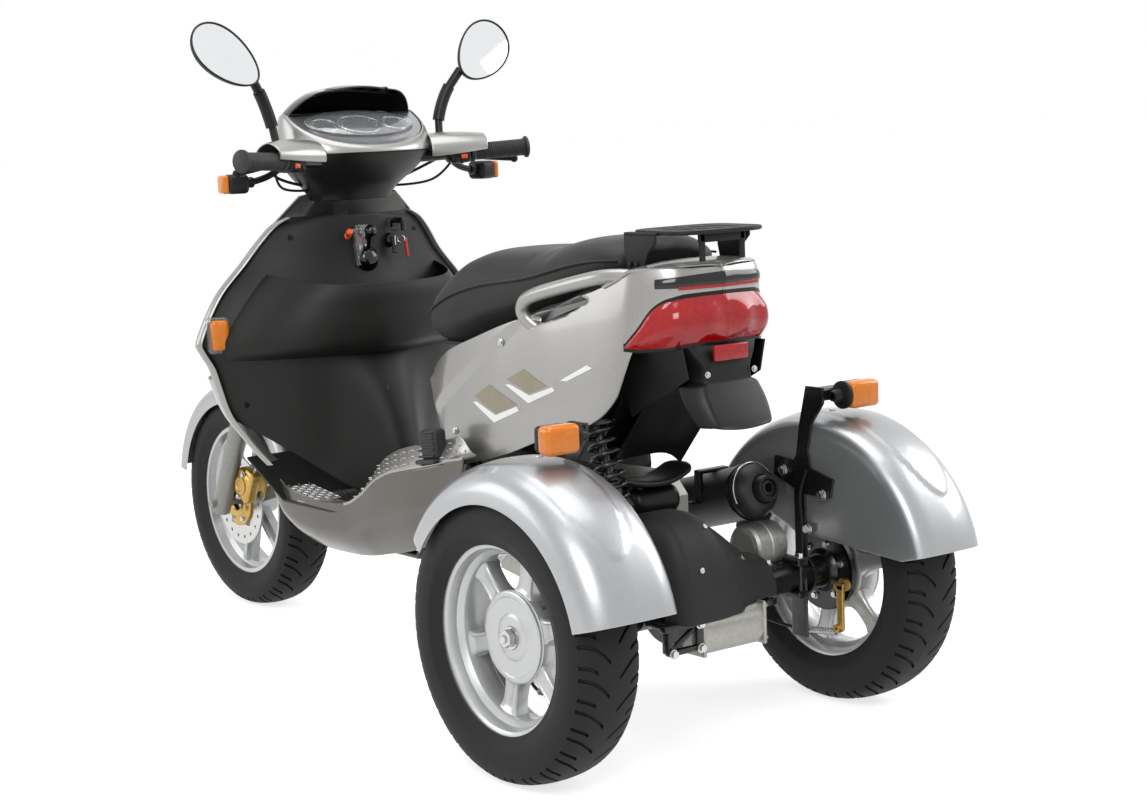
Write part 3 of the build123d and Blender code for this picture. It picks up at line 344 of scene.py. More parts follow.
def bolt(place, axis, head=6.0, length=5.0):
    """A hexagon flange bolt head, flange on its seat."""
    axis = Vector(axis).normalized()
    flange = turned("flange", [(0, 0.01), (0, head * 1.25), (1.2, head * 1.2), (1.6, head * 0.9),
                               (1.6, 0.01)],
                    place, axis, 20)
    deselect()
    bpy.ops.mesh.primitive_cylinder_add(vertices=6, radius=head * MM, depth=length * MM,
                                        location=place + axis * (length / 2 + 1.4) * MM,
                                        rotation=axis.to_track_quat("Z", "Y").to_euler())
    hexagon = bpy.context.object
    apply(hexagon, "BEVEL", width=0.5 * MM, segments=2, limit_method="ANGLE")
    return joined([flange, hexagon])


def graded(rows, key):
    """The values between the rows of a table at a key, on smooth curves that never overshoot the rows."""
    if key <= rows[0][0]:
        return rows[0][1:]
    if key >= rows[-1][0]:
        return rows[-1][1:]
    at_row = max(i for i in range(len(rows) - 1) if rows[i][0] <= key)
    low, high = rows[at_row], rows[at_row + 1]
    span = high[0] - low[0]
    t = (key - low[0]) / span
    values = []
    for column in range(1, len(low)):
        def slope(i):
            if i <= 0 or i >= len(rows) - 1:
                return (rows[min(i + 1, len(rows) - 1)][column] - rows[max(i - 1, 0)][column]) / (
                    rows[min(i + 1, len(rows) - 1)][0] - rows[max(i - 1, 0)][0])
            before = (rows[i][column] - rows[i - 1][column]) / (rows[i][0] - rows[i - 1][0])
            after = (rows[i + 1][column] - rows[i][column]) / (rows[i + 1][0] - rows[i][0])
            return 0.0 if before * after <= 0 else 2 * before * after / (before + after)
        rise = high[column] - low[column]
        m0, m1 = slope(at_row) * span, slope(at_row + 1) * span
        values.append(low[column] + m0 * t + (3 * rise - 2 * m0 - m1) * t * t + (m0 + m1 - 2 * rise) * t ** 3)
    return values


def step(low, high, value):
    """0 at low, 1 at high and eased between; low may be the larger."""
    t = max(0.0, min(1.0, (value - low) / (high - low)))
    return t * t * (3 - 2 * t)


def walled(piece, wall, inward=True, edge=0.8):
    """Gives a skin its thickness and softens the raw edges."""
    apply(piece, "SOLIDIFY", thickness=wall * MM, offset=-1 if inward else 1, use_even_offset=True)
    apply(piece, "BEVEL", width=edge * MM, segments=2, limit_method="ANGLE", angle_limit=math.radians(50))
    smooth(piece, 40)


def other_side(piece):
    """A mirrored copy across the middle plane, with its own mesh, its faces turned outwards again."""
    copy = piece.copy()
    copy.data = piece.data.copy()
    bpy.context.scene.collection.objects.link(copy)
    copy.data.transform(Matrix.Scale(-1, 4, (1, 0, 0)))
    copy.data.flip_normals()
    return copy


# ---------------------------------------------------------------- wheels

def tyre(name, body, x, y, radius, width, rim, pitches):
    """Carcass spun from its section, with grooves pressed into the faces that lie along them."""
    half, steps = width / 2, pitches * 8
    flank = [(0.40, rim - 8), (0.455, rim + 5), (0.48, rim + 12), (0.488, rim + 13.5), (0.496, rim + 22),
             (0.5, rim + (radius - rim) * 0.42), (0.498, rim + (radius - rim) * 0.56), (0.482, radius - 26),
             (0.463, radius - 18.5), (0.445, radius - 14), (0.40, radius - 9), (0.33, radius - 5.2),
             (0.25, radius - 2.7), (0.16, radius - 1.1), (0.07, radius - 0.3)]
    profile = [(-w * width, r) for w, r in flank] + [(w * width, r) for w, r in reversed(flank)]
    axle = put(x, y, radius)

    def lean(along):
        reach = min(1.0, abs(along) / half)
        return 0.30 * reach - 0.13 * reach ** 3

    made = turned(name, profile, axle, (1, 0, 0), steps, shear=lean)
    pitch = 2 * math.pi / steps

    def in_groove(centre, normal):
        from_axle = centre - axle
        along = from_axle.x / MM
        if from_axle.yz.length / MM < radius - 24:
            return False
        turn = math.atan2(from_axle.y, from_axle.z)
        column = int(math.floor((-turn - lean(along)) / pitch + 0.5)) % 8
        share = abs(along) / half
        if along > 0:
            return (column == 0 and 0.10 < share < 0.93) or (column == 3 and 0.42 < share < 0.93)
        return (column == 4 and 0.10 < share < 0.93) or (column == 7 and 0.42 < share < 0.93)

    pick(made, in_groove)
    bpy.ops.mesh.inset(thickness=0.9 * MM, depth=-4.5 * MM)
    bpy.ops.object.mode_set(mode="OBJECT")
    smooth(made, 40)
    return settle(made, name, body, RUBBER, name)


tyre("rear_tyre_left", "rear_wheel_left", HALF_TRACK, 0, REAR_R, REAR_W, REAR_RIM, 27)
tyre("rear_tyre_right", "rear_wheel_right", -HALF_TRACK, 0, REAR_R, REAR_W, REAR_RIM, 27)
tyre("front_tyre", "front_wheel", 0, -WHEELBASE, FRONT_R, FRONT_W, FRONT_RIM, 27)

# ---------------------------------------------------------------- rear fenders

HOOP_Y, HOOP_Z = 15.0, 243.0
# across the fender: share, x out from the wheel's centre plane, radius from the hoop centre
FENDER_SECTION = ((0.0, -96, 262), (0.10, -94.5, 273), (0.22, -84, 284), (0.36, -58, 290.5), (0.52, -12, 292),
                  (0.68, 36, 286.5), (0.80, 60, 274), (0.90, 73, 255), (1.0, 78, 228))
# lower edge of the inner plate: y, z
PLATE_EDGE = ((-122, 362), (-22, 320), (300, 296))


def plate_reach(angle):
    """Distance from the hoop centre down to the inner plate's lower edge."""
    dy, dz = math.cos(angle), math.sin(angle)
    for (y0, z0), (y1, z1) in zip(PLATE_EDGE, PLATE_EDGE[1:]):
        run, rise = y1 - y0, z1 - z0
        cross = dy * rise - dz * run
        reach = ((y0 - HOOP_Y) * rise - (z0 - HOOP_Z) * run) / cross
        hit = HOOP_Y + reach * dy
        if reach > 0 and y0 - 1 <= hit <= y1 + 1:
            return min(reach, 258)
    return 170 + 88 * step(math.radians(140), math.radians(147), angle)


def fender(side):
    def point(u, v):
        angle = math.radians(14 + 133 * v)
        if u < 0.25:
            x, radius = -96, plate_reach(angle) + (262 - plate_reach(angle)) * u / 0.25
        else:
            x, radius = graded(FENDER_SECTION, (u - 0.25) / 0.75)
        # embossed tongue on the crown: full height inside its outline, nothing outside
        turn = math.degrees(angle)
        if u > 0.25 and turn < 120:
            ahead = max(0.0, min(1.0, (turn - 34) / 30))
            reach = 50 * math.sqrt(1 - (1 - ahead) ** 2)
            radius += 2.4 * step(0, 4, reach - abs(x + 4)) * step(120, 96, turn)
        return put(side * (HALF_TRACK + x), HOOP_Y + radius * math.cos(angle),
                   HOOP_Z + radius * math.sin(angle))

    made = skin("fender", point, 70, 150)
    if side > 0:
        made.data.flip_normals()
    walled(made, 2.0)
    name = "rear_fender_left" if side > 0 else "rear_fender_right"
    return settle(made, name, "chassis", FENDER_SILVER, name)


for side in (1, -1):
    fender(side)

# ---------------------------------------------------------------- tail body

# plan of the tail panel: share of the way from nose to tail middle, x, y
TAIL_PLAN = ((0.0, 148, -575), (0.10, 164, -500), (0.36, 178, -300), (0.68, 171, -60), (0.80, 160, 20),
             (0.88, 134, 74), (0.94, 88, 116), (1.0, 0, 130))
# along the panel: y, lower edge z, upper edge z
TAIL_EDGES = ((-575, 590, 604), (-556, 528, 628), (-520, 466, 648), (-488, 446, 662), (-400, 462, 689),
              (-300, 487, 719), (-200, 520, 744), (-100, 547, 774), (-40, 572, 792), (0, 608, 808),
              (20, 652, 818), (38, 690, 824), (72, 738, 826), (112, 776, 826), (130, 780, 824))


def tail_surface(y_share, z, out=0.0):
    """Outer face of the tail panel at a share of its plan and a height."""
    x, y = graded(TAIL_PLAN, y_share)
    ahead = graded(TAIL_PLAN, min(1, y_share + 0.01))
    behind = graded(TAIL_PLAN, max(0, y_share - 0.01))
    way = Vector((ahead[0] - behind[0], ahead[1] - behind[1]))
    outward = Vector((way.y, -way.x)).normalized()
    low, high = graded(TAIL_EDGES, y)
    share = min(1.0, max(0.0, (z - low) / max(1, high - low)))
    inset = (z - 420) * 0.052 + 5 * abs(2 * share - 1) ** 2.5
    # pressed shoulder line running down and forward from the grab rail
    shoulder = 690 + (y + 314) * 0.62
    inset += 5.5 * step(-16, 12, shoulder - z) * step(-150, -300, y) * step(-585, -520, y)
    return Vector((x, y)) + outward * (out - inset)


def tail_share(y):
    """The share of the plan at which the panel stands at this y."""
    low, high = 0.0, 1.0
    for _ in range(24):
        middle = (low + high) / 2
        if graded(TAIL_PLAN, middle)[1] < y:
            low = middle
        else:
            high = middle
    return (low + high) / 2


SLOT = ((-222, 716), (-130, 740), (-62, 770), (-90, 778), (-180, 756), (-226, 738))


def tail_panel():
    def point(u, v):
        share = u
        y = graded(TAIL_PLAN, share)[1]
        low, high = graded(TAIL_EDGES, y)
        z = low + (high - low) * v
        spot = tail_surface(share, z)
        # the hand slot is pressed inwards under the rail
        depth = min(step(0, 9, reach) for reach in slot_reach(y, z))
        return put(spot.x - 20 * depth, spot.y, z)

    return skin("tail_panel", point, 150, 62)


def slot_reach(y, z):
    """Distances inside each side of the hand slot, negative outside."""
    for (y0, z0), (y1, z1) in zip(SLOT, SLOT[1:] + SLOT[:1]):
        run = Vector((y1 - y0, z1 - z0))
        yield (run.x * (z - z0) - run.y * (y - y0)) / run.length


left_panel = tail_panel()
right_panel = other_side(left_panel)
panels = joined([left_panel, right_panel])
outwards(panels, 0.0002)
walled(panels, 3.0)
settle(panels, "tail_panels", "chassis", BODY_SILVER, "tail_body")


def grab_rails():
    """Raised silver rail above each hand slot, its front end rounded back into the panel."""
    route = ((-220, 712, -10), (-250, 734, 8), (-240, 762, 13), (-204, 776, 14), (-150, 788, 14),
             (-80, 803, 12), (-20, 814, 8), (18, 812, -8))
    made = []
    for side in (1, -1):
        points = []
        for y, z, out in route:
            spot = tail_surface(tail_share(y), z, out - 7)
            points.append((side * spot.x, spot.y, z))
        rail = pipe("rail", points, 13, 12)
        made.append(rail)
    whole = joined(made)
    smooth(whole, 50)
    return settle(whole, "grab_rails", "chassis", BODY_SILVER)


grab_rails()


def slot_liners():
    """Dark facing at the bottom of each hand slot."""
    made = []
    for side in (1, -1):
        def point(u, v):
            y = -216 + 136 * u
            z = 722 + 44 * u + 20 * v
            spot = tail_surface(tail_share(y), z, -17)
            return put(side * spot.x, spot.y, z)
        liner = skin("liner", point, 30, 6)
        if side < 0:
            liner.data.flip_normals()
        made.append(liner)
    whole = joined(made)
    apply(whole, "SOLIDIFY", thickness=1.5 * MM, offset=1)
    smooth(whole, 40)
    return settle(whole, "hand_slot_facings", "chassis", GLOSS_BLACK)


slot_liners()

# Screen-printed stripes under the lacquer: off-white chevrons, olive panels fading into the silver.
STRIPE_WHITE = surface("white_printed_film", "#E9E8E4", "#F4F3F0", 30, (0.25, 0.35), 3.0, 0.01, **COAT)
STRIPE_OLIVE = surface("olive_printed_film", "#77705B", "#8D866F", 26, (0.3, 0.4), 1.0, 0.01, Metallic=0.5,
                       **COAT)
# corners of each stripe on the side panel: (y, z) four times
WHITE_STRIPES = (((-406, 571), (-334, 540), (-329, 554), (-392, 573)),
                 ((-334, 540), (-257, 568), (-264, 575), (-329, 554)),
                 ((-299, 611), (-227, 584), (-223, 598), (-286, 613)),
                 ((-227, 584), (-150, 612), (-157, 618), (-223, 598)),
                 ((-136, 631), (-118, 631), (-51, 658), (-66, 662)))
OLIVE_STRIPES = (((-402, 582), (-330, 557), (-262, 578), (-350, 607)),
                 ((-294, 621), (-228, 601), (-172, 618), (-243, 643)))


def stripes(name, shapes, finish, out):
    """Printed shapes on both side panels, `out` mm from the panel."""
    made = []
    for side in (1, -1):
        for corners in shapes:
            def point(u, v):
                (ay, az), (by, bz), (cy, cz), (dy, dz) = corners
                y = (ay + (by - ay) * u) * (1 - v) + (dy + (cy - dy) * u) * v
                z = (az + (bz - az) * u) * (1 - v) + (dz + (cz - dz) * u) * v
                spot = tail_surface(tail_share(y), z, out)
                return put(side * spot.x, spot.y, z)
            patch = skin("patch", point, 24, 12)
            if side < 0:
                patch.data.flip_normals()
            made.append(patch)
    whole = joined(made)
    apply(whole, "SOLIDIFY", thickness=0.3 * MM, offset=1)
    smooth(whole, 30)
    return settle(whole, name, "chassis", finish)


stripes("white_stripes", WHITE_STRIPES, STRIPE_WHITE, 0.5)
stripes("olive_stripes", OLIVE_STRIPES, STRIPE_OLIVE, 0.35)


def tail_top():
    """Silver deck behind the seat, dipped to a black insert, ending in a lip over the lamp."""
    start = tail_share(-30)

    def point(u, v):
        share = start + (1 - start) * v
        y = graded(TAIL_PLAN, share)[1]
        top = graded(TAIL_EDGES, y)[1]
        spot = tail_surface(share, top, 4.0)
        across = 2 * u - 1
        return put(spot.x * across, spot.y - 8 * v * across ** 4,
                   top + 1 + 12 * (1 - abs(across) ** 2.4) * (1 - v ** 3))

    made = skin("tail_deck", point, 60, 60)
    outwards(made)
    if made.data.polygons[len(made.data.polygons) // 2].normal.z < 0:
        made.data.flip_normals()
    apply(made, "SOLIDIFY", thickness=5 * MM, offset=-1)
    apply(made, "BEVEL", width=1.8 * MM, segments=3, limit_method="ANGLE", angle_limit=math.radians(50))
    smooth(made, 45)
    return settle(made, "tail_deck", "chassis", BODY_SILVER)


tail_top()


def tail_insert():
    """Gloss black insert under the lip, with its narrow dark red strip."""
    def point(u, v):
        share = 0.885 + 0.115 * u
        z = 793 + 24 * v - 8 * (1 - u) * v
        spot = tail_surface(share, z, 0.8 + 2.0 * math.sin(math.pi * v))
        return put(spot.x, spot.y, z)

    left = skin("insert", point, 40, 10)
    whole = joined([left, other_side(left)])
    outwards(whole)
    walled(whole, 1.5)
    settle(whole, "tail_insert", "chassis", GLOSS_BLACK)

    def strip(u, v):
        share = 0.93 + 0.07 * u
        z = 790 + 6 * v
        spot = tail_surface(share, z, 2.4)
        return put(spot.x, spot.y, z)

    left = skin("strip", strip, 30, 3)
    whole = joined([left, other_side(left)])
    outwards(whole)
    walled(whole, 1.2)
    return settle(whole, "tail_red_strip", "chassis", RED_LENS_PAINTED_FACET_GLINTS)


tail_insert()

# lamp outline along the panel: share, lower z, upper z
LAMP_EDGES = ((0.806, 694, 698), (0.84, 692, 722), (0.88, 694, 758), (0.91, 696, 772), (0.95, 700, 778),
              (1.0, 702, 780))


def tail_lamp():
    """One wide lens round the tail, two round swellings each side, slanted pointed tips."""
    def lens(u, v):
        share = 0.806 + 0.194 * u
        low, high = graded(LAMP_EDGES, share)
        z = low + (high - low) * v
        x = graded(TAIL_PLAN, share)[0]
        crown = (1 - abs(2 * v - 1) ** 3) * (0.25 + 0.75 * step(0, 0.16, u))
        swell = 9 * math.exp(-((x - 100) / 26) ** 2) + 10 * math.exp(-((x - 40) / 26) ** 2)
        spot = tail_surface(share, z, 1.0 + (8.0 + swell * (1 - abs(2 * v - 1) ** 2)) * crown)
        return put(spot.x, spot.y, z)

    left = skin("lens", lens, 96, 28)
    whole = joined([left, other_side(left)])
    outwards(whole)
    walled(whole, 2.0)
    settle(whole, "tail_lens", "chassis", RED_LENS_PAINTED_FACET_GLINTS, "tail_light")

    def back(u, v):
        share = 0.80 + 0.20 * u
        low, high = graded(LAMP_EDGES, share)
        z = low - 5 + (high - low + 10) * v
        spot = tail_surface(share, z, -0.2)
        return put(spot.x, spot.y, z)

    left = skin("bezel", back, 60, 6)
    whole = joined([left, other_side(left)])
    outwards(whole)
    walled(whole, 1.0, inward=False)
    settle(whole, "tail_lamp_seat", "chassis", COVER_BLACK)
    reflector = block((74, 8, 27), put(0, 120, 682), bevel=2.5)
    smooth(reflector)
    return settle(reflector, "tail_reflector", "chassis", RED_LENS_PAINTED_FACET_GLINTS)


tail_lamp()

# ---------------------------------------------------------------- rear mudguard


def mudguard():
    """Black lamp carrier with a flared flap below it and a wing each side."""
    # down the guard: z, half width, y of the face, how far the edges fold forward
    rows = ((556, 74, 158, 26), (572, 80, 151, 30), (600, 84, 136, 34), (626, 80, 121, 38),
            (634, 66, 117, 60),
            (650, 64, 116, 62), (680, 84, 110, 60), (696, 96, 104, 56))

    def point(u, v):
        z = 556 + 140 * v
        half, face, fold = graded(rows, z)
        across = 2 * u - 1
        edge = max(0.0, (abs(across) - 0.72) / 0.28)
        return put(half * across, face - fold * edge ** 1.6 - 5 * across ** 2,
                   z + (10 * across ** 2 * (1 - 20 * v) if v < 0.05 else 0.0))

    made = skin("guard", point, 72, 70)
    outwards(made)
    apply(made, "SOLIDIFY", thickness=3 * MM, offset=0)
    apply(made, "BEVEL", width=0.9 * MM, segments=2, limit_method="ANGLE", angle_limit=math.radians(50))
    smooth(made, 40)
    settle(made, "mudguard_flap", "chassis", COVER_BLACK, "rear_mudguard")

    def inner(u, v):
        across = 2 * u - 1
        y = 44 - 162 * v
        z = 672 - 188 * v - 26 * across ** 4
        return put(84 * across, y, z)

    sheet = skin("inner_guard", inner, 40, 50)
    apply(sheet, "SOLIDIFY", thickness=3 * MM, offset=0)
    smooth(sheet, 40)
    settle(sheet, "inner_mudguard", "chassis", COVER_BLACK)
    # wings between the carrier and the body panels
    wings = []
    for side in (1, -1):
        def wing(u, v):
            y = 104 - 150 * u
            z = 694 - 52 * v - 62 * u * v - 14 * u
            return put(side * (92 + 34 * u * (1 - v) - 12 * v), y, z)
        half = skin("wing", wing, 24, 16)
        if side > 0:
            half.data.flip_normals()
        wings.append(half)
    whole = joined(wings)
    apply(whole, "SOLIDIFY", thickness=3 * MM, offset=0)
    smooth(whole, 40)
    settle(whole, "mudguard_wings", "chassis", COVER_BLACK)
    screws = [bolt(put(x, 119, z), (0, 1, 0.1), 4.5, 3)
              for x, z in ((52, 648), (-52, 648), (58, 606), (-58, 606))]
    return settle(joined(screws), "mudguard_screws", "chassis", BRIGHT_STEEL)


mudguard()

# ---------------------------------------------------------------- saddle

# along the saddle: y, half width, underside z, top z, flatness of the top
SADDLE = ((-618, 74, 672, 714, 2.2), (-610, 104, 660, 744, 2.4), (-588, 124, 652, 774, 2.5),
          (-550, 133, 656, 799, 2.6), (-494, 138, 672, 822, 2.8), (-413, 139, 696, 838, 3.0),
          (-340, 139, 714, 841, 3.0), (-290, 139, 728, 841, 3.0), (-240, 138, 742, 846, 3.0),
          (-200, 137, 750, 856, 3.0), (-140, 134, 768, 866, 3.0), (-80, 128, 786, 868, 2.8),
          (-36, 112, 800, 860, 2.6), (-20, 84, 812, 846, 2.4))


def saddle():
    """Crowned foam cushion under stretched vinyl, its flanks pulled in to the base."""
    def point(u, v):
        y = -618 + 598 * v
        half, low, high, flat = graded(SADDLE, y)
        turn = 2 * math.pi * u
        across, upward = math.cos(turn), math.sin(turn)
        x = half * math.copysign(abs(across) ** (2 / flat), across)
        middle = low + (high - low) * 0.42
        if upward >= 0:
            z = middle + (high - middle) * abs(upward) ** (2 / flat)
        else:
            z = middle - (middle - low) * abs(upward) ** (2 / flat)
            x *= 1 - 0.10 * abs(upward)
        return put(x, y, z)

    made = skin("saddle", point, 96, 120, closed=True)
    only(made)
    bpy.ops.object.mode_set(mode="EDIT")
    bpy.ops.mesh.select_all(action="DESELECT")
    bpy.ops.mesh.select_mode(type="EDGE")
    bpy.ops.mesh.select_non_manifold()
    bpy.ops.mesh.edge_face_add()
    bpy.ops.mesh.select_all(action="SELECT")
    bpy.ops.mesh.normals_make_consistent(inside=False)
    bpy.ops.object.mode_set(mode="OBJECT")
    inflate(made, 6.0, 4.0, 6.0)
    smooth(made, 60)
    settle(made, "saddle_cushion", "seat", SEAT_VINYL, "seat_cushion")
    # piping sewn along each flank
    for side in (1, -1):
        route = []
        for y, half, low, high, flat in SADDLE[1:-1]:
            route.append((side * (half * 0.985), y, low + (high - low) * 0.60))
        cordlet = pipe("piping", route, 2.2, 8)
        smooth(cordlet, 60)
        settle(cordlet, "saddle_piping_left" if side > 0 else "saddle_piping_right", "seat", SEAT_VINYL)
    return made


def inflate(piece, voxel, pressure, limit):
    """Presses a cushion out with cloth, no point moving more than the limit."""
    only(piece)
    apply(piece, "REMESH", mode="VOXEL", voxel_size=voxel * MM)
    start = [vertex.co.copy() for vertex in piece.data.vertices]
    cloth = piece.modifiers.new("cloth", "CLOTH")
    cloth.settings.use_pressure = True
    cloth.settings.uniform_pressure_force = pressure
    cloth.settings.effector_weights.gravity = 0
    for one in range(1, 21):
        bpy.context.scene.frame_set(one)
    bpy.ops.object.modifier_apply(modifier=cloth.name)
    bpy.context.scene.frame_set(1)
    for vertex, was in zip(piece.data.vertices, start):
        moved = vertex.co - was
        if moved.length > limit * MM:
            vertex.co = was + moved.normalized() * limit * MM
    apply(piece, "SMOOTH", factor=0.5, iterations=4)
    apply(piece, "SUBSURF", levels=1, render_levels=1)


saddle()

# ---------------------------------------------------------------- leg shield and apron

# up the shield: z, half width, y at the edge, y at the middle
SHIELD = ((333, 176, -1014, -955), (372, 200, -1046, -957), (405, 222, -1066, -958),
          (441, 248, -1076, -958), (508, 288, -1088, -957), (560, 302, -1094, -956),
          (596, 312, -1096, -958), (628, 330, -1097, -962), (646, 338, -1098, -965),
          (668, 330, -1098, -968), (705, 312, -1097, -976), (745, 286, -1096, -986),
          (804, 232, -1088, -998), (852, 194, -1074, -1003), (878, 168, -1066, -1005),
          (892, 140, -1060, -1006))
# how far the tunnel stands out of the shield: z, depth, half width
TUNNEL = ((333, 104, 70), (400, 96, 70), (470, 78, 72), (540, 52, 78), (600, 26, 84), (680, 8, 90),
          (892, 0, 90))
# the pocket in front of the shield: z, depth at the middle
POCKET = ((572, 0), (580, 20), (592, 46), (612, 66), (650, 80), (700, 92), (750, 101), (766, 101))


def shield_point(across, z):
    """x and y in millimetres on the leg shield's face: across runs from -1 to 1."""
    half, edge, middle = graded(SHIELD, z)
    depth, reach = graded(TUNNEL, z)
    x = half * across
    hump = depth * math.exp(-abs(x / reach) ** 2.6 * 0.9)
    return x, edge + (middle - edge) * (1 - abs(across) ** 2.3) + hump


def leg_shield():
    def back(u, v):
        across = 2 * u - 1
        z = 333 + 559 * v
        low = 333 + 157 * max(0, (abs(across) - 0.45) / 0.55) ** 1.3
        z = low + (892 - low) * v
        x, y = shield_point(across, z)
        return put(x, y, z)

    made = skin("shield", back, 84, 84)
    made.data.flip_normals()
    outwards(made)
    apply(made, "SOLIDIFY", thickness=3 * MM, offset=0)
    apply(made, "BEVEL", width=0.8 * MM, segments=2, limit_method="ANGLE", angle_limit=math.radians(50))
    smooth(made, 40)
    settle(made, "shield", "chassis", SHIELD_BLACK, "leg_shield")

    def pocket(u, v):
        share = 2 * u - 1
        across = share * (0.93 - 0.13 * v)
        rim = 758 + 22 * abs(share) ** 4
        z = 612 + (rim - 612) * v
        depth = graded(POCKET, 572 + 194 * v)[0]
        x, y = shield_point(across, z)
        return put(x, y + 1.5 + depth * (1 - abs(share) ** 6), z)

    made = skin("pocket", pocket, 110, 60)
    outwards(made)
    apply(made, "SOLIDIFY", thickness=3.5 * MM, offset=0)
    apply(made, "BEVEL", width=1.4 * MM, segments=3, limit_method="ANGLE", angle_limit=math.radians(50))
    smooth(made, 40)
    settle(made, "glove_pocket", "chassis", SHIELD_BLACK)
    # thin joint line of the service hatch in the tunnel
    line = []
    for y_share, z in ((20, 548), (20, 400), (50, 396), (56, 470), (52, 546)):
        x = y_share
        spot = shield_point(x / graded(SHIELD, z)[0], z)
        line.append((spot[0], spot[1] + 1.6, z))
    hatch = [pipe("hatch", [a, tuple((p + q) / 2 for p, q in zip(a, b)), b], 0.9, 4)
             for a, b in zip(line, line[1:] + line[:1])]
    return settle(joined(hatch), "service_hatch_line", "chassis", GLOSS_BLACK)


leg_shield()

# up the apron: z, half width, y at the edge, y at the nose
APRON = ((530, 300, -1096, -1330), (560, 306, -1099, -1346), (596, 316, -1101, -1360),
         (646, 344, -1104, -1370), (705, 318, -1102, -1362), (745, 292, -1100, -1350),
         (804, 238, -1092, -1312), (852, 200, -1078, -1270), (892, 160, -1066, -1226),
         (934, 116, -1054, -1168))


def apron():
    def point(u, v):
        across = 2 * u - 1
        z = 530 + 404 * v
        half, edge, nose = graded(APRON, z)
        # the arch over the front wheel lifts the lower edge in the middle
        z += 122 * step(0.62, 0.46, abs(across)) * (1 - v)
        half, edge, nose = graded(APRON, z)
        bow = 1 - (abs(across) ** 2 + 0.004) ** 0.72
        x = half * across
        return put(x, edge + (nose - edge) * bow, z)

    made = skin("apron", point, 120, 70)
    outwards(made)
    made.data.flip_normals()
    apply(made, "SOLIDIFY", thickness=3 * MM, offset=0)
    apply(made, "BEVEL", width=0.9 * MM, segments=2, limit_method="ANGLE", angle_limit=math.radians(50))
    smooth(made, 40)
    settle(made, "apron_skin", "chassis", BODY_SILVER, "front_apron")
    edges = []
    for side in (1, -1):
        def strip(u, v):
            z = 392 + 500 * v
            half, edge = graded(SHIELD, z)[:2]
            turn = math.pi * u
            return put(side * (half + 3 + 6.5 * math.sin(turn)), edge - 4 - 11 * math.cos(turn) + 6, z)
        band = skin("edge", strip, 10, 90)
        edges.append(band)
        def lower(u, v):
            z = 392 + 180 * v
            half, edge = graded(SHIELD, z)[:2]
            return put(side * (half + 5 - 42 * u * u), edge - 6 - (30 + 60 * v) * u, z)
        edges.append(skin("wing", lower, 14, 40))
    whole = joined(edges)
    outwards(whole)
    apply(whole, "SOLIDIFY", thickness=2.5 * MM, offset=0)
    smooth(whole, 40)
    return settle(whole, "apron_edges", "chassis", BODY_SILVER)


apron()

# ---------------------------------------------------------------- handlebar cowl

# up the lower cover: z, half width, half length, middle y
COWL = ((922, 86, 60, -1047), (932, 91, 64, -1047), (950, 106, 73, -1045), (975, 134, 90, -1036),
        (1000, 154, 106, -1027), (1018, 164, 116, -1022))
DASH_Y, DASH_Z, DASH_SLOPE = -980.0, 1066.0, -0.577
DASH_SILVER = paint("silver_lacquer_on_dash_moulding", "#7F7F82", "#97979A", Metallic=0.7, **COAT)


def oval(z_row, turn, power=2.3):
    """x and y of a flattened oval from its row: half width, half length, middle."""
    half, length, middle = z_row
    across, along = math.cos(turn), math.sin(turn)
    return (half * math.copysign(abs(across) ** (2 / power), across),
            middle + length * math.copysign(abs(along) ** (2 / power), along))


def lower_cowl():
    def point(u, v):
        z = 922 + 96 * v
        x, y = oval(graded(COWL, z), 2 * math.pi * u)
        return put(x, y, z)

    made = skin("cowl", point, 120, 40, closed=True)
    outwards(made)
    walled(made, 3.0, edge=1.2)
    return settle(made, "handle_cover_lower", "steering", COVER_BLACK, "handle_cover")


def upper_cowl():
    """Silver band from the seam up to the dash, climbing towards the front."""
    def point(u, v):
        turn = 2 * math.pi * u
        x, y = oval((165, 117, -1022), turn)
        top_x, top_y = oval((152, 100, -1024), turn)
        rim = min(1098, DASH_Z + DASH_SLOPE * (top_y - DASH_Y)) + 2
        lift = 1 - (1 - v) ** 1.7
        return put(x + (top_x - x) * v ** 1.8, y + (top_y - y) * v ** 1.8, 1019.5 + (rim - 1019.5) * lift)

    made = skin("band", point, 140, 24, closed=True)
    outwards(made)
    walled(made, 3.0, edge=1.2)
    settle(made, "handle_cover_band", "steering", BODY_SILVER, "handle_cover_top")

    def dash(u, v):
        turn = 2 * math.pi * u
        x, y = oval((150, 98, -1024), turn)
        x, y = x * v, -1012 + (y + 1012) * v
        rim = min(1098, DASH_Z + DASH_SLOPE * (y - DASH_Y))
        hollow = 3.5 * step(1.0, 0.86, v)
        return put(x, y, rim - hollow + 7 * step(-1040, -1090, y) * step(1.0, 0.7, v))

    made = skin("dash", dash, 120, 40, closed=True)
    outwards(made)
    walled(made, 2.0)
    settle(made, "dash_moulding", "steering", DASH_SILVER)

    for side in (1, -1):
        def wing(u, v):
            along = v
            centre = (142 + 116 * along, -968 + 42 * along, 1014 + 5 * along)
            turn = math.radians(-18 + 216 * u)
            wide = 46 - 15 * along ** 2
            tall = 36 - 18 * along ** 1.6
            drop = 10 * along * (1 - abs(2 * u - 1))
            return put(side * centre[0] + side * -0.34 * wide * math.cos(turn),
                       centre[1] + wide * math.cos(turn),
                       centre[2] + tall * math.sin(turn) + drop)
        cheek = skin("cheek", wing, 40, 36)
        if side < 0:
            cheek.data.flip_normals()
        apply(cheek, "SOLIDIFY", thickness=3 * MM, offset=-1)
        apply(cheek, "BEVEL", width=1.0 * MM, segments=2, limit_method="ANGLE", angle_limit=math.radians(50))
        smooth(cheek, 45)
        settle(cheek, "cowl_wing_left" if side > 0 else "cowl_wing_right", "steering", BODY_SILVER)


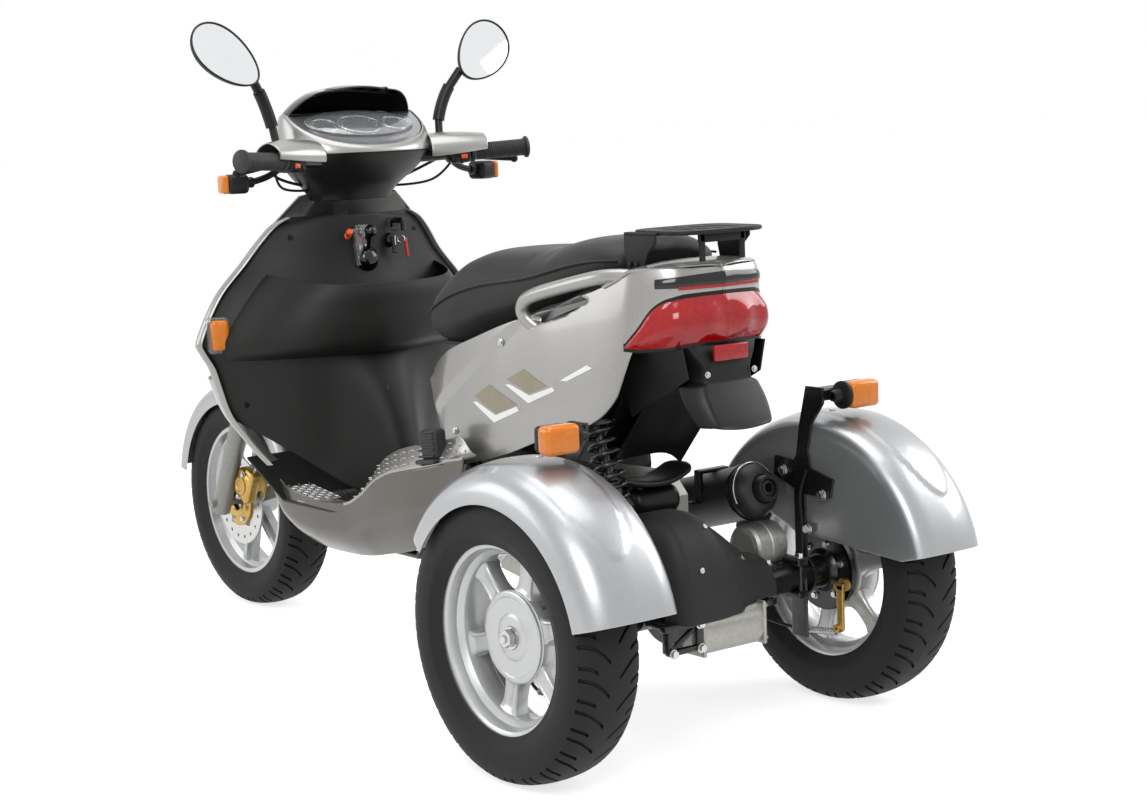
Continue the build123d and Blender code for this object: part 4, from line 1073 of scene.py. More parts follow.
def dash_point(a, b, out=0.0):
    """A place on the dash: a across, b up the slope from the middle of the dials, out above its face."""
    y = -996 - b * 0.866
    return put(a, y + out * 0.5, DASH_Z + DASH_SLOPE * (y - DASH_Y) - 3.5 + out * 0.866)


DIAL_BLACK = surface("printed_dial_face", "#101214", "#1C1F22", 8, (0.3, 0.4), 2.0, 0.01)
TICK_WHITE = surface("white_dial_ink", "#E8E8E4", "#F2F2EF", 10, (0.4, 0.5), 2.0, 0.01)


def instruments():
    """Three dials under one clear lens: a wide speed dial between two small ones."""
    rings, faces, ticks = [], [], []
    for a, wide, tall in ((0, 50, 33), (84, 30, 24), (-84, 30, 24)):
        def bezel(u, v):
            turn, roll = 2 * math.pi * u, 2 * math.pi * v
            grow = 3.2 * math.cos(roll)
            return dash_point(a + (wide + grow) * math.cos(turn), 2 + (tall + grow) * math.sin(turn),
                              2.0 + 2.4 * math.sin(roll))
        ring = skin("ring", bezel, 64, 10, closed=True)
        outwards(ring)
        rings.append(ring)

        def face(u, v):
            turn = 2 * math.pi * u
            return dash_point(a + wide * v * math.cos(turn), 2 + tall * v * math.sin(turn), 1.0)
        disc = skin("face", face, 48, 3, closed=True)
        outwards(disc)
        faces.append(disc)
        for i in range(13):
            turn = math.radians(200 - 220 * i / 12)
            inner, outer = (0.70, 0.86) if i % 3 == 0 else (0.77, 0.86)
            ends = [dash_point(a + wide * r * math.cos(turn), 2 + tall * r * math.sin(turn), 1.6)
                    for r in (inner, outer)]
            way = (ends[1] - ends[0]).normalized()
            side = way.cross(Vector((0, 0.5, 0.866))).normalized() * 0.55 * MM
            tick = mesh_of("tick", [ends[0] - side, ends[1] - side, ends[1] + side, ends[0] + side],
                           [(0, 1, 2, 3)])
            ticks.append(tick)
    whole = joined(rings)
    smooth(whole, 60)
    settle(whole, "dial_rings", "steering", BRIGHT_STEEL)
    whole = joined(faces)
    smooth(whole, 60)
    settle(whole, "dial_faces", "steering", DIAL_BLACK)
    whole = joined(ticks)
    apply(whole, "SOLIDIFY", thickness=0.3 * MM, offset=0)
    settle(whole, "dial_ticks", "steering", TICK_WHITE)

    def lens(u, v):
        turn = 2 * math.pi * u
        return dash_point(128 * v * math.cos(turn), 4 + 50 * v * math.sin(turn), 5 + 6 * (1 - v ** 4))
    cover = skin("cover", lens, 96, 14, closed=True)
    outwards(cover)
    walled(cover, 1.2)
    settle(cover, "dial_lens", "steering", CLEAR_LENS, "instrument_panel")


lower_cowl()
upper_cowl()
instruments()

# up the visor: z, half width, y of the side edges, y at the front
VISOR = ((1080, 150, -1044, -1140), (1100, 143, -1030, -1136), (1122, 128, -1012, -1122),
         (1138, 110, -998, -1104), (1147, 90, -990, -1086), (1150, 66, -986, -1070))


def visor():
    def point(u, v):
        z = 1080 + 70 * v
        half, edge, front = graded(VISOR, z)
        turn = math.pi * (u - 0.5)
        return put(half * math.sin(turn), edge + (front - edge) * math.cos(turn) ** 0.8,
                   z - 6 * math.sin(turn) ** 2 * v)

    made = skin("visor", point, 90, 30)
    outwards(made)
    made.data.flip_normals()
    apply(made, "SOLIDIFY", thickness=3 * MM, offset=0)
    apply(made, "BEVEL", width=1.0 * MM, segments=2, limit_method="ANGLE", angle_limit=math.radians(50))
    smooth(made, 45)
    settle(made, "smoked_visor", "steering", SMOKED, "visor")

    def roof(u, v):
        z = 1150 + 3 * math.sin(math.pi * v)
        half, edge, front = graded(VISOR, 1150)
        across = 2 * u - 1
        back = edge - 6 * across ** 2
        ahead = edge + (front - edge) * max(0.0, 1 - across * across) ** 0.4
        return put(half * across, back + (ahead - back) * v,
                   z - 6 * across ** 2 * (1 - v) - 6 * across ** 2 * v)
    top = skin("roof", roof, 40, 16)
    outwards(top)
    apply(top, "SOLIDIFY", thickness=3 * MM, offset=0)
    smooth(top, 45)
    return settle(top, "visor_peak", "steering", SMOKED)


visor()


def headlamp():
    def lens(u, v):
        turn = 2 * math.pi * u
        x, z = oval((75, 31, 1002), turn, 3.2)
        return put(x * v, -1141 - 15 * (1 - v ** 3), 1002 + (z - 1002) * v)
    made = skin("lamp", lens, 72, 16, closed=True)
    outwards(made)
    walled(made, 2.0)
    settle(made, "headlamp_lens", "steering", CLEAR_LENS, "headlight")

    def bowl(u, v):
        turn = 2 * math.pi * u
        x, z = oval((71, 28, 1002), turn, 3.2)
        return put(x * v, -1140 + 12 * (1 - v ** 2), 1002 + (z - 1002) * v)
    made = skin("bowl", bowl, 72, 12, closed=True)
    outwards(made)
    made.data.flip_normals()
    apply(made, "SOLIDIFY", thickness=1 * MM, offset=0)
    smooth(made, 45)
    return settle(made, "headlamp_reflector", "steering", MIRROR)


headlamp()

# ---------------------------------------------------------------- grips, switches, levers

BAR_START, BAR_END = Vector((150, -955, 1004)), Vector((336, -887, 1014))
BAR_WAY = (BAR_END - BAR_START).normalized()
SWITCH_ORANGE = surface("orange_abs_button", "#E4491C", "#F2652B", 6, (0.3, 0.4), 0.8, 0.02)


def on_bar(along, up=0.0, back=0.0, side=1):
    """A place along the bar end, up from it and behind it, on the given side."""
    rearward = Vector((-BAR_WAY.y, BAR_WAY.x, 0)).normalized()
    spot = BAR_START + BAR_WAY * along + Vector((0, 0, 1)) * up + rearward * back
    return put(side * spot.x, spot.y, spot.z)


def bar_axis(side):
    """The direction of the bar's end on one side."""
    return Vector((side * BAR_WAY.x, BAR_WAY.y, BAR_WAY.z))


def bar_turn(side):
    """The rotation that lays a piece along the bar's end on one side."""
    return bar_axis(side).to_track_quat("X", "Z").to_euler()


grips, switches, buttons, levers = [], [], [], []
for side in (1, -1):
    ribs = []
    for i in range(26):
        ribs += [(90 + 4 * i, 16.4), (91.2 + 4 * i, 17.6), (92.8 + 4 * i, 17.6)]
    profile = [(78, 11.5), (78, 20), (80, 21.5), (84, 21.5), (86, 18)] + ribs + \
        [(195, 16.8), (196, 21), (198, 22.5), (201, 22.5), (203, 20), (203, 0.02)]
    grips.append(turned("grip", profile, put(side * BAR_START.x, BAR_START.y, BAR_START.z), bar_axis(side),
                        48))
    body = block((46, 44, 42), on_bar(54, 1, 2, side), bar_turn(side), bevel=9, segments=4)
    band = block((4, 47, 45), on_bar(55, 1, 2, side), bar_turn(side), bevel=1.8)
    collar = turned("collar", [(28, 12), (28, 17), (30, 18), (34, 18), (34, 12)],
                    put(side * BAR_START.x, BAR_START.y, BAR_START.z), bar_axis(side), 40)
    switches += [body, band, collar]
    for along, up in (((42, 14), (64, -8)) if side > 0 else ((60, -6),)):
        buttons.append(block((13, 7, 9), on_bar(along, up, 24, side), bar_turn(side), bevel=1.6))
    for along, up in ((46, -12), (62, 10)):
        switches.append(block((10, 6, 7), on_bar(along, up, 24, side), bar_turn(side), bevel=1.5))
    perch = block((34, 40, 16), put(side * 196, -976, 1004), bar_turn(side), bevel=5, segments=4)
    clamp = block((16, 26, 30), put(side * 186, -950, 1006), bar_turn(side), bevel=5, segments=3)
    levers += [perch, clamp, pipe("lever", [(side * 190, -984, 1004), (side * 214, -978, 1002),
                                            (side * 250, -962, 998),
                                            (side * 296, -938, 993), (side * 330, -922, 990)], 5.2, 10)]
    deselect()
    bpy.ops.mesh.primitive_uv_sphere_add(segments=24, ring_count=14, radius=8 * MM,
                                         location=put(side * 332, -921, 990))
    levers.append(bpy.context.object)
for pieces, name, finish, stands in ((grips, "handle_grips", GRIP_RUBBER, "grips"),
                                     (switches, "switch_housings", COVER_BLACK, "hand_controls"),
                                     (buttons, "switch_buttons", SWITCH_ORANGE, ()),
                                     (levers, "brake_levers", POWDER, ())):
    whole = joined(pieces)
    smooth(whole, 40)
    settle(whole, name, "steering", finish, stands)

# ---------------------------------------------------------------- mirrors


def mirror(side):
    """Egg-shaped housing on a jointed stalk, glass set in a thin rim."""
    centre = put(side * 306, -984, 1217)
    long_way = Vector((side * 0.74, -0.20, 0.64)).normalized()
    face = Vector((side * -0.22, 0.96, 0.16))
    face = (face - long_way * face.dot(long_way)).normalized()
    short_way = face.cross(long_way).normalized()

    def outline(turn, grow=0.0):
        s = math.cos(turn)
        return long_way * (79 + grow) * s * MM + short_way * (53 + grow) * math.sin(turn) * (1
                                                                                             + 0.16 * s) * MM

    def shell(u, v):
        turn = 2 * math.pi * u
        bulge = math.sin(v * math.pi / 2)
        return centre + outline(turn) * math.cos(v * math.pi / 2) ** 0.6 - face * 24 * bulge * MM

    housing = skin("housing", shell, 72, 18, closed=True)
    outwards(housing)

    def rim(u, v):
        turn, roll = 2 * math.pi * u, 2 * math.pi * v
        return centre + outline(turn, -1.0 + 2.2 * math.cos(roll)) + face * (1.5 + 2.4 * math.sin(roll)) * MM

    lip = skin("lip", rim, 72, 8, closed=True)
    outwards(lip)

    def glass(u, v):
        return centre + outline(2 * math.pi * u, -2.0) * v + face * 1.5 * MM

    plate = skin("glass", glass, 72, 4, closed=True)
    outwards(plate)
    if plate.data.polygons[0].normal.dot(face) < 0:
        plate.data.flip_normals()
    settle(plate, "mirror_glass_left" if side > 0 else "mirror_glass_right", "steering", MIRROR)
    neck = pipe("neck", [(side * 252, -990, 1180), (side * 238, -996, 1160), (side * 222, -1002, 1136)],
                9.5, 8)
    sleeve = pipe("sleeve", [(side * 228, -1000, 1146), (side * 210, -1006, 1116),
                             (side * 200, -1004, 1076)], 12.5, 10)
    post = pipe("post", [(side * 201, -1004, 1084), (side * 196, -1000, 1048), (side * 195, -988, 1012)], 8,
                10)
    nut = turned("nut", [(0, 6), (0, 13), (2, 14), (12, 14), (14, 13), (14, 6)], put(side * 195, -990, 1013),
                 (0, -0.2, 1), 6)
    whole = joined([housing, lip, neck, sleeve, post, nut])
    smooth(whole, 45)
    return settle(whole, "mirror_left" if side > 0 else "mirror_right", "steering", COVER_BLACK,
                  "mirrors" if side > 0 else ())


mirror(1)
mirror(-1)


def bar_signals():
    """Black pods on short arms below the bar, orange lenses facing outward."""
    pods, lenses = [], []
    for side in (1, -1):
        turn = Vector((side * 0.97, -0.24, 0.0)).to_track_quat("X", "Z").to_euler()
        pods.append(block((44, 44, 38), put(side * 296, -990, 968), turn, bevel=9, segments=4))
        lenses.append(block((14, 42, 36), put(side * 321, -996, 968), turn, bevel=5, segments=4))
        pods.append(pipe("arm", [(side * 278, -986, 968), (side * 244, -984, 973), (side * 212, -976, 988),
                                 (side * 202, -970, 998)], 6.5, 10))
        pods.append(turned("boot", [(0, 5), (0, 10), (3, 11), (12, 10), (16, 8), (16, 5)],
                           put(side * 262, -985, 970),
                           (side, 0, 0), 32))
    whole = joined(pods)
    smooth(whole, 40)
    settle(whole, "bar_signal_pods", "steering", COVER_BLACK, "handlebar_signals")
    whole = joined(lenses)
    smooth(whole, 40)
    return settle(whole, "bar_signal_lenses", "steering", ORANGE_LENS)


bar_signals()

# ---------------------------------------------------------------- axle, final drive and exhaust

def coil(name, start, end, radius, wire, turns):
    """A coil of round wire between two places."""
    way = (end - start).normalized()
    length = (end - start).length
    first = way.orthogonal().normalized()
    second = way.cross(first)

    def point(u, v):
        turn, roll = 2 * math.pi * turns * v, 2 * math.pi * u
        out = first * math.cos(turn) + second * math.sin(turn)
        return start + way * length * v + (out * (radius + wire * math.cos(roll))
                                           + way * wire * math.sin(roll)) * MM

    made = skin(name, point, 8, int(turns * 22), closed=True)
    outwards(made)
    return made


def shroud_point(x, turn):
    """Saddle-shaped drive cover: turn 0 is straight back, a quarter turn is straight up."""
    fall = step(36, -140, x)
    back, up = 106 - 36 * fall, 158 - 98 * fall
    ridge = -34 + 52 * math.sin(turn)
    shrink = 1 - 0.055 * step(ridge, ridge - 9, x) - 0.34 * max(0.0, (x - 84) / 34) ** 2.4
    across, rise = math.cos(turn), math.sin(turn)
    return put(x, back * shrink * math.copysign(abs(across) ** 0.8, across),
               243 + up * shrink * math.copysign(abs(rise) ** 0.86, rise))


def drive_shroud():
    def point(u, v):
        return shroud_point(118 - 256 * v, math.radians(-4 + 192 * u))

    made = skin("shroud", point, 72, 90)
    outwards(made)
    if made.data.polygons[len(made.data.polygons) // 2].normal.z < 0:
        made.data.flip_normals()
    apply(made, "SOLIDIFY", thickness=3 * MM, offset=-1)
    apply(made, "BEVEL", width=1.2 * MM, segments=2, limit_method="ANGLE", angle_limit=math.radians(50))
    smooth(made, 45)
    settle(made, "drive_shroud", "chassis", CHARCOAL, "diff_cover")
    screws = []
    for x, degrees in ((62, 24), (22, 58), (-62, 44)):
        turn = math.radians(degrees)
        spot = shroud_point(x, turn)
        normal = (shroud_point(x, turn + 0.02) - spot).cross(shroud_point(x - 2, turn) - spot).normalized()
        if normal.dot(spot - put(x, 0, 243)) < 0:
            normal = -normal
        screws.append(turned("dish", [(-1, 2), (0.6, 9), (1.6, 9.6), (1.6, 7.6), (0.8, 6)], spot, normal, 32))
        screws.append(bolt(spot + normal * 0.6 * MM, normal, 5.5, 4))
    return settle(joined(screws), "shroud_screws", "chassis", BRIGHT_STEEL)


def gear_casing():
    def point(u, v):
        turn = 2 * math.pi * u
        rib = 1.6 * (0.5 + 0.5 * math.cos(2 * math.pi * 13 * u)) * step(0.02, 0.06, v) * step(0.98, 0.94, v)
        half = 36 + rib
        across, rise = math.cos(turn), math.sin(turn)
        return put(50 - 134 * v, 58 + half * math.copysign(abs(across) ** 0.6, across),
                   201 + half * math.copysign(abs(rise) ** 0.6, rise))

    made = skin("casing", point, 156, 40, closed=True)
    outwards(made)
    walled(made, 6.0, edge=1.5)
    caps = []
    for x, way in ((50, 1), (-84, -1)):
        caps.append(block((8, 76, 76), put(x + 2 * way, 58, 201), bevel=4, segments=3))
        caps += [bolt(put(x + 6 * way, 58 + a, 201 + b), (way, 0, 0), 5, 4) for a in (-28, 28)
                 for b in (-28, 28)]
    whole = joined([made] + caps)
    settle(whole, "gear_casing", "chassis", RAW_CAST, "gearbox")
    bracket = [block((86, 16, 12), put(98, 88, 226), bevel=3), block((70, 14, 10), put(98, 90, 184), bevel=3),
               block((14, 18, 54), put(64, 88, 205), bevel=3),
               block((12, 18, 44), put(128, 86, 204), bevel=3),
               block((60, 60, 12), put(98, 54, 226), bevel=3),
               pipe("strut", [(124, 88, 186), (96, 90, 206), (66, 88, 222)], 5, 8)]
    whole = joined(bracket)
    smooth(whole, 40)
    settle(whole, "casing_bracket", "chassis", ENAMEL)
    return settle(joined([bolt(put(x, 98, z), (0, 1, 0), 7, 6)
                          for x, z in ((64, 184), (126, 184), (66, 226))]),
                  "casing_bolts", "chassis", BRIGHT_STEEL)


def exhaust():
    start, way = put(-202, -340, 325), Vector((0, 320, 82)).normalized()
    body = turned("can", [(0, 20), (4, 34), (12, 44), (20, 47), (24, 49), (30, 50), (286, 50), (289, 51.5),
                          (293, 51.5),
                          (296, 50), (302, 48), (312, 42), (318, 35), (320, 30), (321, 27)], start, way, 96)
    cup = turned("cup", [(312, 25), (322, 25), (328, 24.5), (336, 23.5), (338, 22), (338, 17), (330, 16.5),
                         (329, 14),
                         (335, 13.5), (336, 11), (336, 9), (300, 8.5), (300, 0.02)], start, way, 72)
    whole = joined([body, cup])
    smooth(whole, 30)
    settle(whole, "silencer", "chassis", SILENCER, "muffler")
    trims = []
    for near, far in ((34, 40), (276, 282)):
        trims.append(turned("band", [(near, 50), (near, 51.6), (near + 1, 52.2), (far - 1, 52.2),
                                     (far, 51.6), (far, 50)],
                            start, way, 96))
    settle(joined(trims), "silencer_bands", "chassis", ENAMEL)
    side = way.cross(Vector((1, 0, 0))).normalized()

    def arc(u, v):
        turn, roll = math.radians(-20 + 220 * v), 2 * math.pi * u
        out = Vector((1, 0, 0)) * math.cos(turn) - side * math.sin(turn)
        if out.z < 0 and 0.2 < v < 0.8:
            out = -out
        return start + way * (298 + 1.6 * math.sin(roll)) * MM + out * (51.2 + 1.8 * math.cos(roll)) * MM
    trim = skin("arc", arc, 8, 60, closed=True)
    outwards(trim)
    settle(trim, "silencer_trim", "chassis", BRIGHT_STEEL)
    strap = [block((70, 16, 8), put(-186, -150, 428), bevel=2.5),
             block((10, 16, 60), put(-154, -150, 402), bevel=2.5),
             block((34, 14, 7), put(-140, -150, 374), bevel=2)]
    return settle(joined(strap), "silencer_strap", "chassis", ENAMEL)


def springs_and_duct():
    """The left shock absorber with its spring, and the intake duct."""
    seats = []
    low, high = put(125, -4, 293), put(125, -117, 652)
    way = (high - low).normalized()
    spring = coil("coil", low.lerp(high, 0.16), low.lerp(high, 0.72), 24, 4.3, 10.5)
    for share in (0.15, 0.73):
        spot = low.lerp(high, share)
        seats.append(turned("seat", [(-4, 16), (-4, 30), (-2, 31.5), (3, 31.5), (5, 29), (5, 16)], spot,
                            way, 48))
    seats.append(turned("damper", [(-52, 0.02), (-52, 11), (-40, 17), (110, 17), (114, 13), (114, 8),
                                   (300, 8), (300, 16),
                                   (322, 16), (324, 13), (324, 0.02)], low.lerp(high, 0.16), way, 36))
    for share in (0.0, 1.0):
        seats.append(turned("eye", [(-15, 6), (-15, 15), (15, 15), (15, 6)], low.lerp(high, share),
                            (1, 0, 0), 32))
    smooth(spring, 80)
    settle(spring, "shock_springs", "chassis", ENAMEL)
    whole = joined(seats)
    smooth(whole, 40)
    settle(whole, "shock_body", "chassis", ENAMEL, "shock_absorbers")

    def bar(u, v):
        roll = 2 * math.pi * u
        x = 70 - 168 * v
        rise = 432 + 26 * ((x + 20) / 80) ** 2 * (0.5 if x > -20 else 1.0)
        last = math.sqrt(max(0.0, 1 - max(0.0, (v - 0.9) / 0.1) ** 2))
        first = math.sqrt(max(0.0, 1 - max(0.0, (0.05 - v) / 0.05) ** 2))
        end = last * first
        wide, tall = 40 * max(0.03, end), 8 * max(0.03, end)
        across, high = math.cos(roll), math.sin(roll)
        return put(x, -128 + wide * math.copysign(abs(across) ** 0.7, across),
                   rise + tall * math.copysign(abs(high) ** 0.7, high))
    made = skin("duct", bar, 40, 60, closed=True)
    outwards(made)
    pot = turned("pot", [(0, 0.02), (0, 16), (4, 22), (12, 25), (80, 25), (84, 26.5), (90, 26.5), (94, 24),
                         (100, 16), (102, 0.02)],
                 put(30, -122, 398), (-1, 0, 0), 48)
    neck = pipe("neck", [(10, -128, 428), (6, -126, 412), (4, -124, 400)], 12, 10)
    stay = pipe("stay", [(20, -128, 430), (50, -140, 400), (70, -160, 370)], 8, 8)
    whole = joined([made, pot, neck, stay])
    smooth(whole, 40)
    return settle(whole, "intake_duct", "chassis", COVER_BLACK)


def axle_fittings():
    black, bright, drums = [], [], []
    for side in (1, -1):
        for x in (238, 160):
            black.append(block((26, 66, 14), put(side * x, 0, 273), bevel=3))
            black.append(block((26, 66, 12), put(side * x, 0, 214), bevel=3))
            for y in (-24, 24):
                black.append(pipe("stud", [(side * x, y, 212), (side * x, y, 246), (side * x, y, 284)], 4.5,
                                  8))
                bright.append(bolt(put(side * x, y, 281), (0, 0, 1), 6.5, 7))
        black.append(block((8, 40, 112), put(side * 250, 8, 188), bevel=4))
        black.append(pipe("arm", [(side * 250, 8, 140), (side * 270, 0, 130), (side * 300, -30, 128)], 4, 8))
        drum = turned("plate", [(0, 28), (0, 64), (-3, 70), (-7, 72), (-7, 60), (-5, 40), (-11, 34),
                                (-16, 32), (-16, 28)],
                      put(side * 320, 0, 243), (side, 0, 0), 72)
        black.append(drum)
        for degrees in (20, 75, 130, 200, 250, 310):
            turn = math.radians(degrees)
            bright.append(bolt(put(side * 314, 52 * math.cos(turn), 243 + 52 * math.sin(turn)),
                               (-side, 0, 0), 6, 5))
        # cam lever, its return spring and the cable that pulls it
        lever = [turned("boss", [(0, 5), (0, 12), (10, 12), (10, 5)], put(side * 302, 64, 226),
                        (side, 0, 0), 32),
                 block((6, 17, 84), put(side * 304, 57, 184), bevel=2.5),
                 block((6, 26, 14), put(side * 304, 54, 222), bevel=2.5),
                 turned("pin", [(0, 3), (0, 8), (14, 8), (14, 3)], put(side * 298, 50, 144), (side, 0, 0),
                        24)]
        drums += lever
        bright.append(coil("spring", put(side * 302, 46, 138), put(side * 302, -44, 128), 5.5, 1.1, 22))
        black.append(pipe("cable", [(side * 302, -44, 128), (side * 290, -90, 130), (side * 240, -170, 170),
                                    (side * 150, -260, 250)], 3.2, 8))
    settle(joined(drums), "brake_levers_rear", "chassis", GOLD_ZINC)
    settle(joined(bright), "axle_bolts", "chassis", BRIGHT_STEEL)
    whole = joined(black)
    smooth(whole, 40)
    settle(whole, "axle_clamps", "chassis", ENAMEL)

    pot = turned("drum", [(0, 0.02), (0, 30), (3, 38), (8, 42), (34, 43), (36, 45), (44, 45), (46, 43),
                          (70, 42), (76, 36), (78, 0.02)],
                 put(-162, -44, 300), (-1, 0, 0), 72)
    settle(pot, "starter_drum", "chassis", RAW_CAST)
    wires, studs = [], []
    for side in (1, -1):
        wires.append(pipe("wire", [(side * 259, 24, 436), (side * 256, 6, 400), (side * 257, 10, 350),
                                   (side * 257, 14, 306),
                                   (side * 252, 12, 272)], 2.6, 8))
        studs += [bolt(put(side * 261, y, z), (-side, 0, 0), 8, 6)
                  for y, z in ((-38, 430), (60, 396), (22, 330))]
        studs.append(bolt(put(side * 330, 20, 534), (0, 0.05, 1), 6, 3))
    settle(joined(wires), "signal_wires", "chassis", RUBBER)
    return settle(joined(studs), "bracket_bolts", "chassis", BRIGHT_STEEL)


def signals():
    shells, lenses, bezels = [], [], []
    for side in (1, -1):
        lenses.append(block((66, 34, 48), put(side * 338, 84, 572), bevel=9, segments=4))
        shells.append(block((60, 22, 44), put(side * 336, 62, 572), bevel=8, segments=4))
        shells.append(turned("collar", [(0, 8), (0, 22), (2, 25), (7, 25), (10, 20), (12, 12), (24, 11),
                                        (30, 9), (30, 5)],
                             put(side * 307, 74, 572), (-side, 0, 0), 40))
        tilt = Vector((side * 0.24, 0.95, 0.10)).to_track_quat("Y", "Z").to_euler()
        bezels.append(block((52, 22, 76), put(side * 304, -1082, 664), tilt, bevel=10, segments=4))
        lenses.append(block((38, 24, 62), put(side * 305, -1075, 664), tilt, bevel=9, segments=4))
    for pieces, name, finish, stands in ((lenses, "signal_lenses", ORANGE_LENS, "turn_signals"),
                                         (shells, "signal_housings", COVER_BLACK, ()),
                                         (bezels, "front_signal_bezels", CLEAR_LENS, ())):
        whole = joined(pieces)
        smooth(whole, 40)
        settle(whole, name, "chassis", finish, stands)


drive_shroud()
gear_casing()
exhaust()
springs_and_duct()
axle_fittings()
signals()

# ---------------------------------------------------------------- floor, sills and skirts

# along the skirt: y, bottom z, top z, x outside
SKIRT = ((-1086, 322, 366, 200), (-1040, 290, 360, 216), (-1000, 268, 352, 226), (-929, 248, 344, 234),
         (-850, 242, 343, 238), (-759, 244, 350, 239), (-700, 250, 372, 239), (-650, 260, 404, 238),
         (-600, 270, 424, 237), (-540, 286, 438, 236), (-480, 308, 450, 233), (-420, 336, 464, 229),
         (-366, 362, 480, 226))


def sill_point(side, y, v, lift=0.0):
    """Silver sill climbing inward from the top of the skirt: v runs across it."""
    _, top, out = graded(SKIRT, y)
    climb = 44 * step(-770, -660, y) * step(-366, -420, y)
    return put(side * (out - 9 - 34 * v - lift * 0.8), y, top + 1.5 + climb * v ** 0.9 + lift * 0.6)


def skirts():
    for side in (1, -1):
        def point(u, v):
            y = -1086 + 720 * u
            bottom, top, out = graded(SKIRT, y)
            under = math.radians(80) * max(0.0, (v - 0.5) / 0.5)
            lean = 12 * (1 - v) ** 2
            return put(side * (out - lean - 46 * (1 - math.cos(under))), y,
                       top + (bottom - top) * (v * 0.5 + 0.5 * v ** 0.8))
        made = skin("skirt", point, 100, 40)
        if made.data.polygons[10].normal.x * side < 0:
            made.data.flip_normals()
        apply(made, "SOLIDIFY", thickness=3 * MM, offset=-1)
        apply(made, "BEVEL", width=1.2 * MM, segments=2, limit_method="ANGLE", angle_limit=math.radians(50))
        smooth(made, 45)
        settle(made, "skirt_left" if side > 0 else "skirt_right", "chassis", SILL_GREY, "side_skirts"
               if side > 0 else ())

        def sill(u, v):
            return sill_point(side, -760 + 392 * u, v)
        made = skin("sill", sill, 80, 12)
        if made.data.polygons[10].normal.z < 0:
            made.data.flip_normals()
        apply(made, "SOLIDIFY", thickness=6 * MM, offset=-1)
        apply(made, "BEVEL", width=1.6 * MM, segments=3, limit_method="ANGLE", angle_limit=math.radians(50))
        smooth(made, 45)
        settle(made, "sill_left" if side > 0 else "sill_right", "chassis", BODY_SILVER)


def treads():
    """Raised lozenges on the foot plates and sills, and the ribs of the mat between them."""
    studs, ribs, plates = [], [], []
    for side in (1, -1):
        plates.append(block((62, 150, 4), put(side * 172, -985, 340), (math.radians(-7), 0, 0), bevel=1.6))
        for i in range(13):
            for j in range(5):
                turn = math.radians(45 if (i + j) % 2 else -45)
                studs.append((side * (148 + 12 * j), -1050 + 11 * i,
                              342.6 + (-985 + 1050 - 11 * i) * 0.1228, turn))
        for i in range(24):
            for j in range(3):
                y = -722 + 14.5 * i
                turn = math.radians(45 if (i + j) % 2 else -45)
                spot = sill_point(side, y, 0.2 + 0.28 * j, -1.2)
                studs.append((spot.x / MM, y, spot.z / MM, turn))
    verts, faces = [], []
    for x, y, z, turn in studs:
        start = len(verts)
        long_way, short_way = Vector((math.cos(turn), math.sin(turn), 0)), Vector((-math.sin(turn),
                                                                                   math.cos(turn), 0))
        for a, b, c in ((-5.2, 0, 0), (0, -1.9, 0), (5.2, 0, 0), (0, 1.9, 0), (-2.2, 0, 1.5),
                        (0, -0.8, 1.5), (2.2, 0, 1.5), (0, 0.8, 1.5)):
            verts.append(put(x, y, z + c) + (long_way * a + short_way * b) * MM)
        faces += [tuple(start + k for k in face) for face in
                  ((0, 1, 5, 4), (1, 2, 6, 5), (2, 3, 7, 6), (3, 0, 4, 7), (4, 5, 6, 7), (3, 2, 1, 0))]
    made = mesh_of("studs", verts, faces)
    outwards(made, merge=0.0)
    settle(made, "tread_lozenges", "chassis", PLATE)
    settle(joined(plates), "front_tread_plates", "chassis", PLATE)
    for i in range(23):
        x = -143 + 13 * i
        ribs.append(block((5, 300 if abs(x) > 60 else 240, 2.4), put(x, -800 if abs(x) > 60 else -770, 331),
                          bevel=0.9, segments=1))
    settle(joined(ribs), "mat_ribs", "chassis", RUBBER)
    pegs = []
    for side in (1, -1):
        pegs.append(block((30, 50, 58), put(side * 208, -468, 492), (math.radians(8), 0, 0), bevel=8,
                          segments=4))
        pegs.append(block((42, 62, 8), put(side * 210, -468, 462), (math.radians(8), 0, 0), bevel=3))
        pegs += [block((3, 50, 4), put(side * 226, -468, 472 + 11 * i), (math.radians(8), 0, 0), bevel=1,
                       segments=1) for i in range(5)]
    whole = joined(pegs)
    smooth(whole, 40)
    return settle(whole, "foot_peg_blocks", "chassis", GRIP_RUBBER)


skirts()
treads()

# ---------------------------------------------------------------- wheel fittings

def hub_fittings():
    """Dished cap face, washer and castle nut on each rear hub."""
    for side, name in ((1, "left"), (-1, "right")):
        centre, way = put(side * HALF_TRACK, 0, REAR_R), (side, 0, 0)
        face = turned("face", [(17, 60), (17, 74), (18.5, 76.5), (21, 76.5), (22.5, 74), (22.5, 68),
                               (21, 66), (20.5, 40), (22, 38),
                               (23.5, 35), (23.5, 20), (21, 18)], centre, way, 96)
        smooth(face, 35)
        settle(face, f"hub_face_{name}", f"rear_wheel_{name}", WHEEL_SILVER)
        nut = [turned("washer", [(21, 8), (21, 19), (25, 19), (25, 8)], centre, way, 48),
               turned("nut", [(25, 5), (25, 14.5), (27, 15.5), (36, 15.5), (38, 14), (38, 8), (41, 7.5),
                              (42, 6), (42, 0.02)], centre, way, 6)]
        settle(joined(nut), f"axle_nut_{name}", f"rear_wheel_{name}", BRIGHT_STEEL)


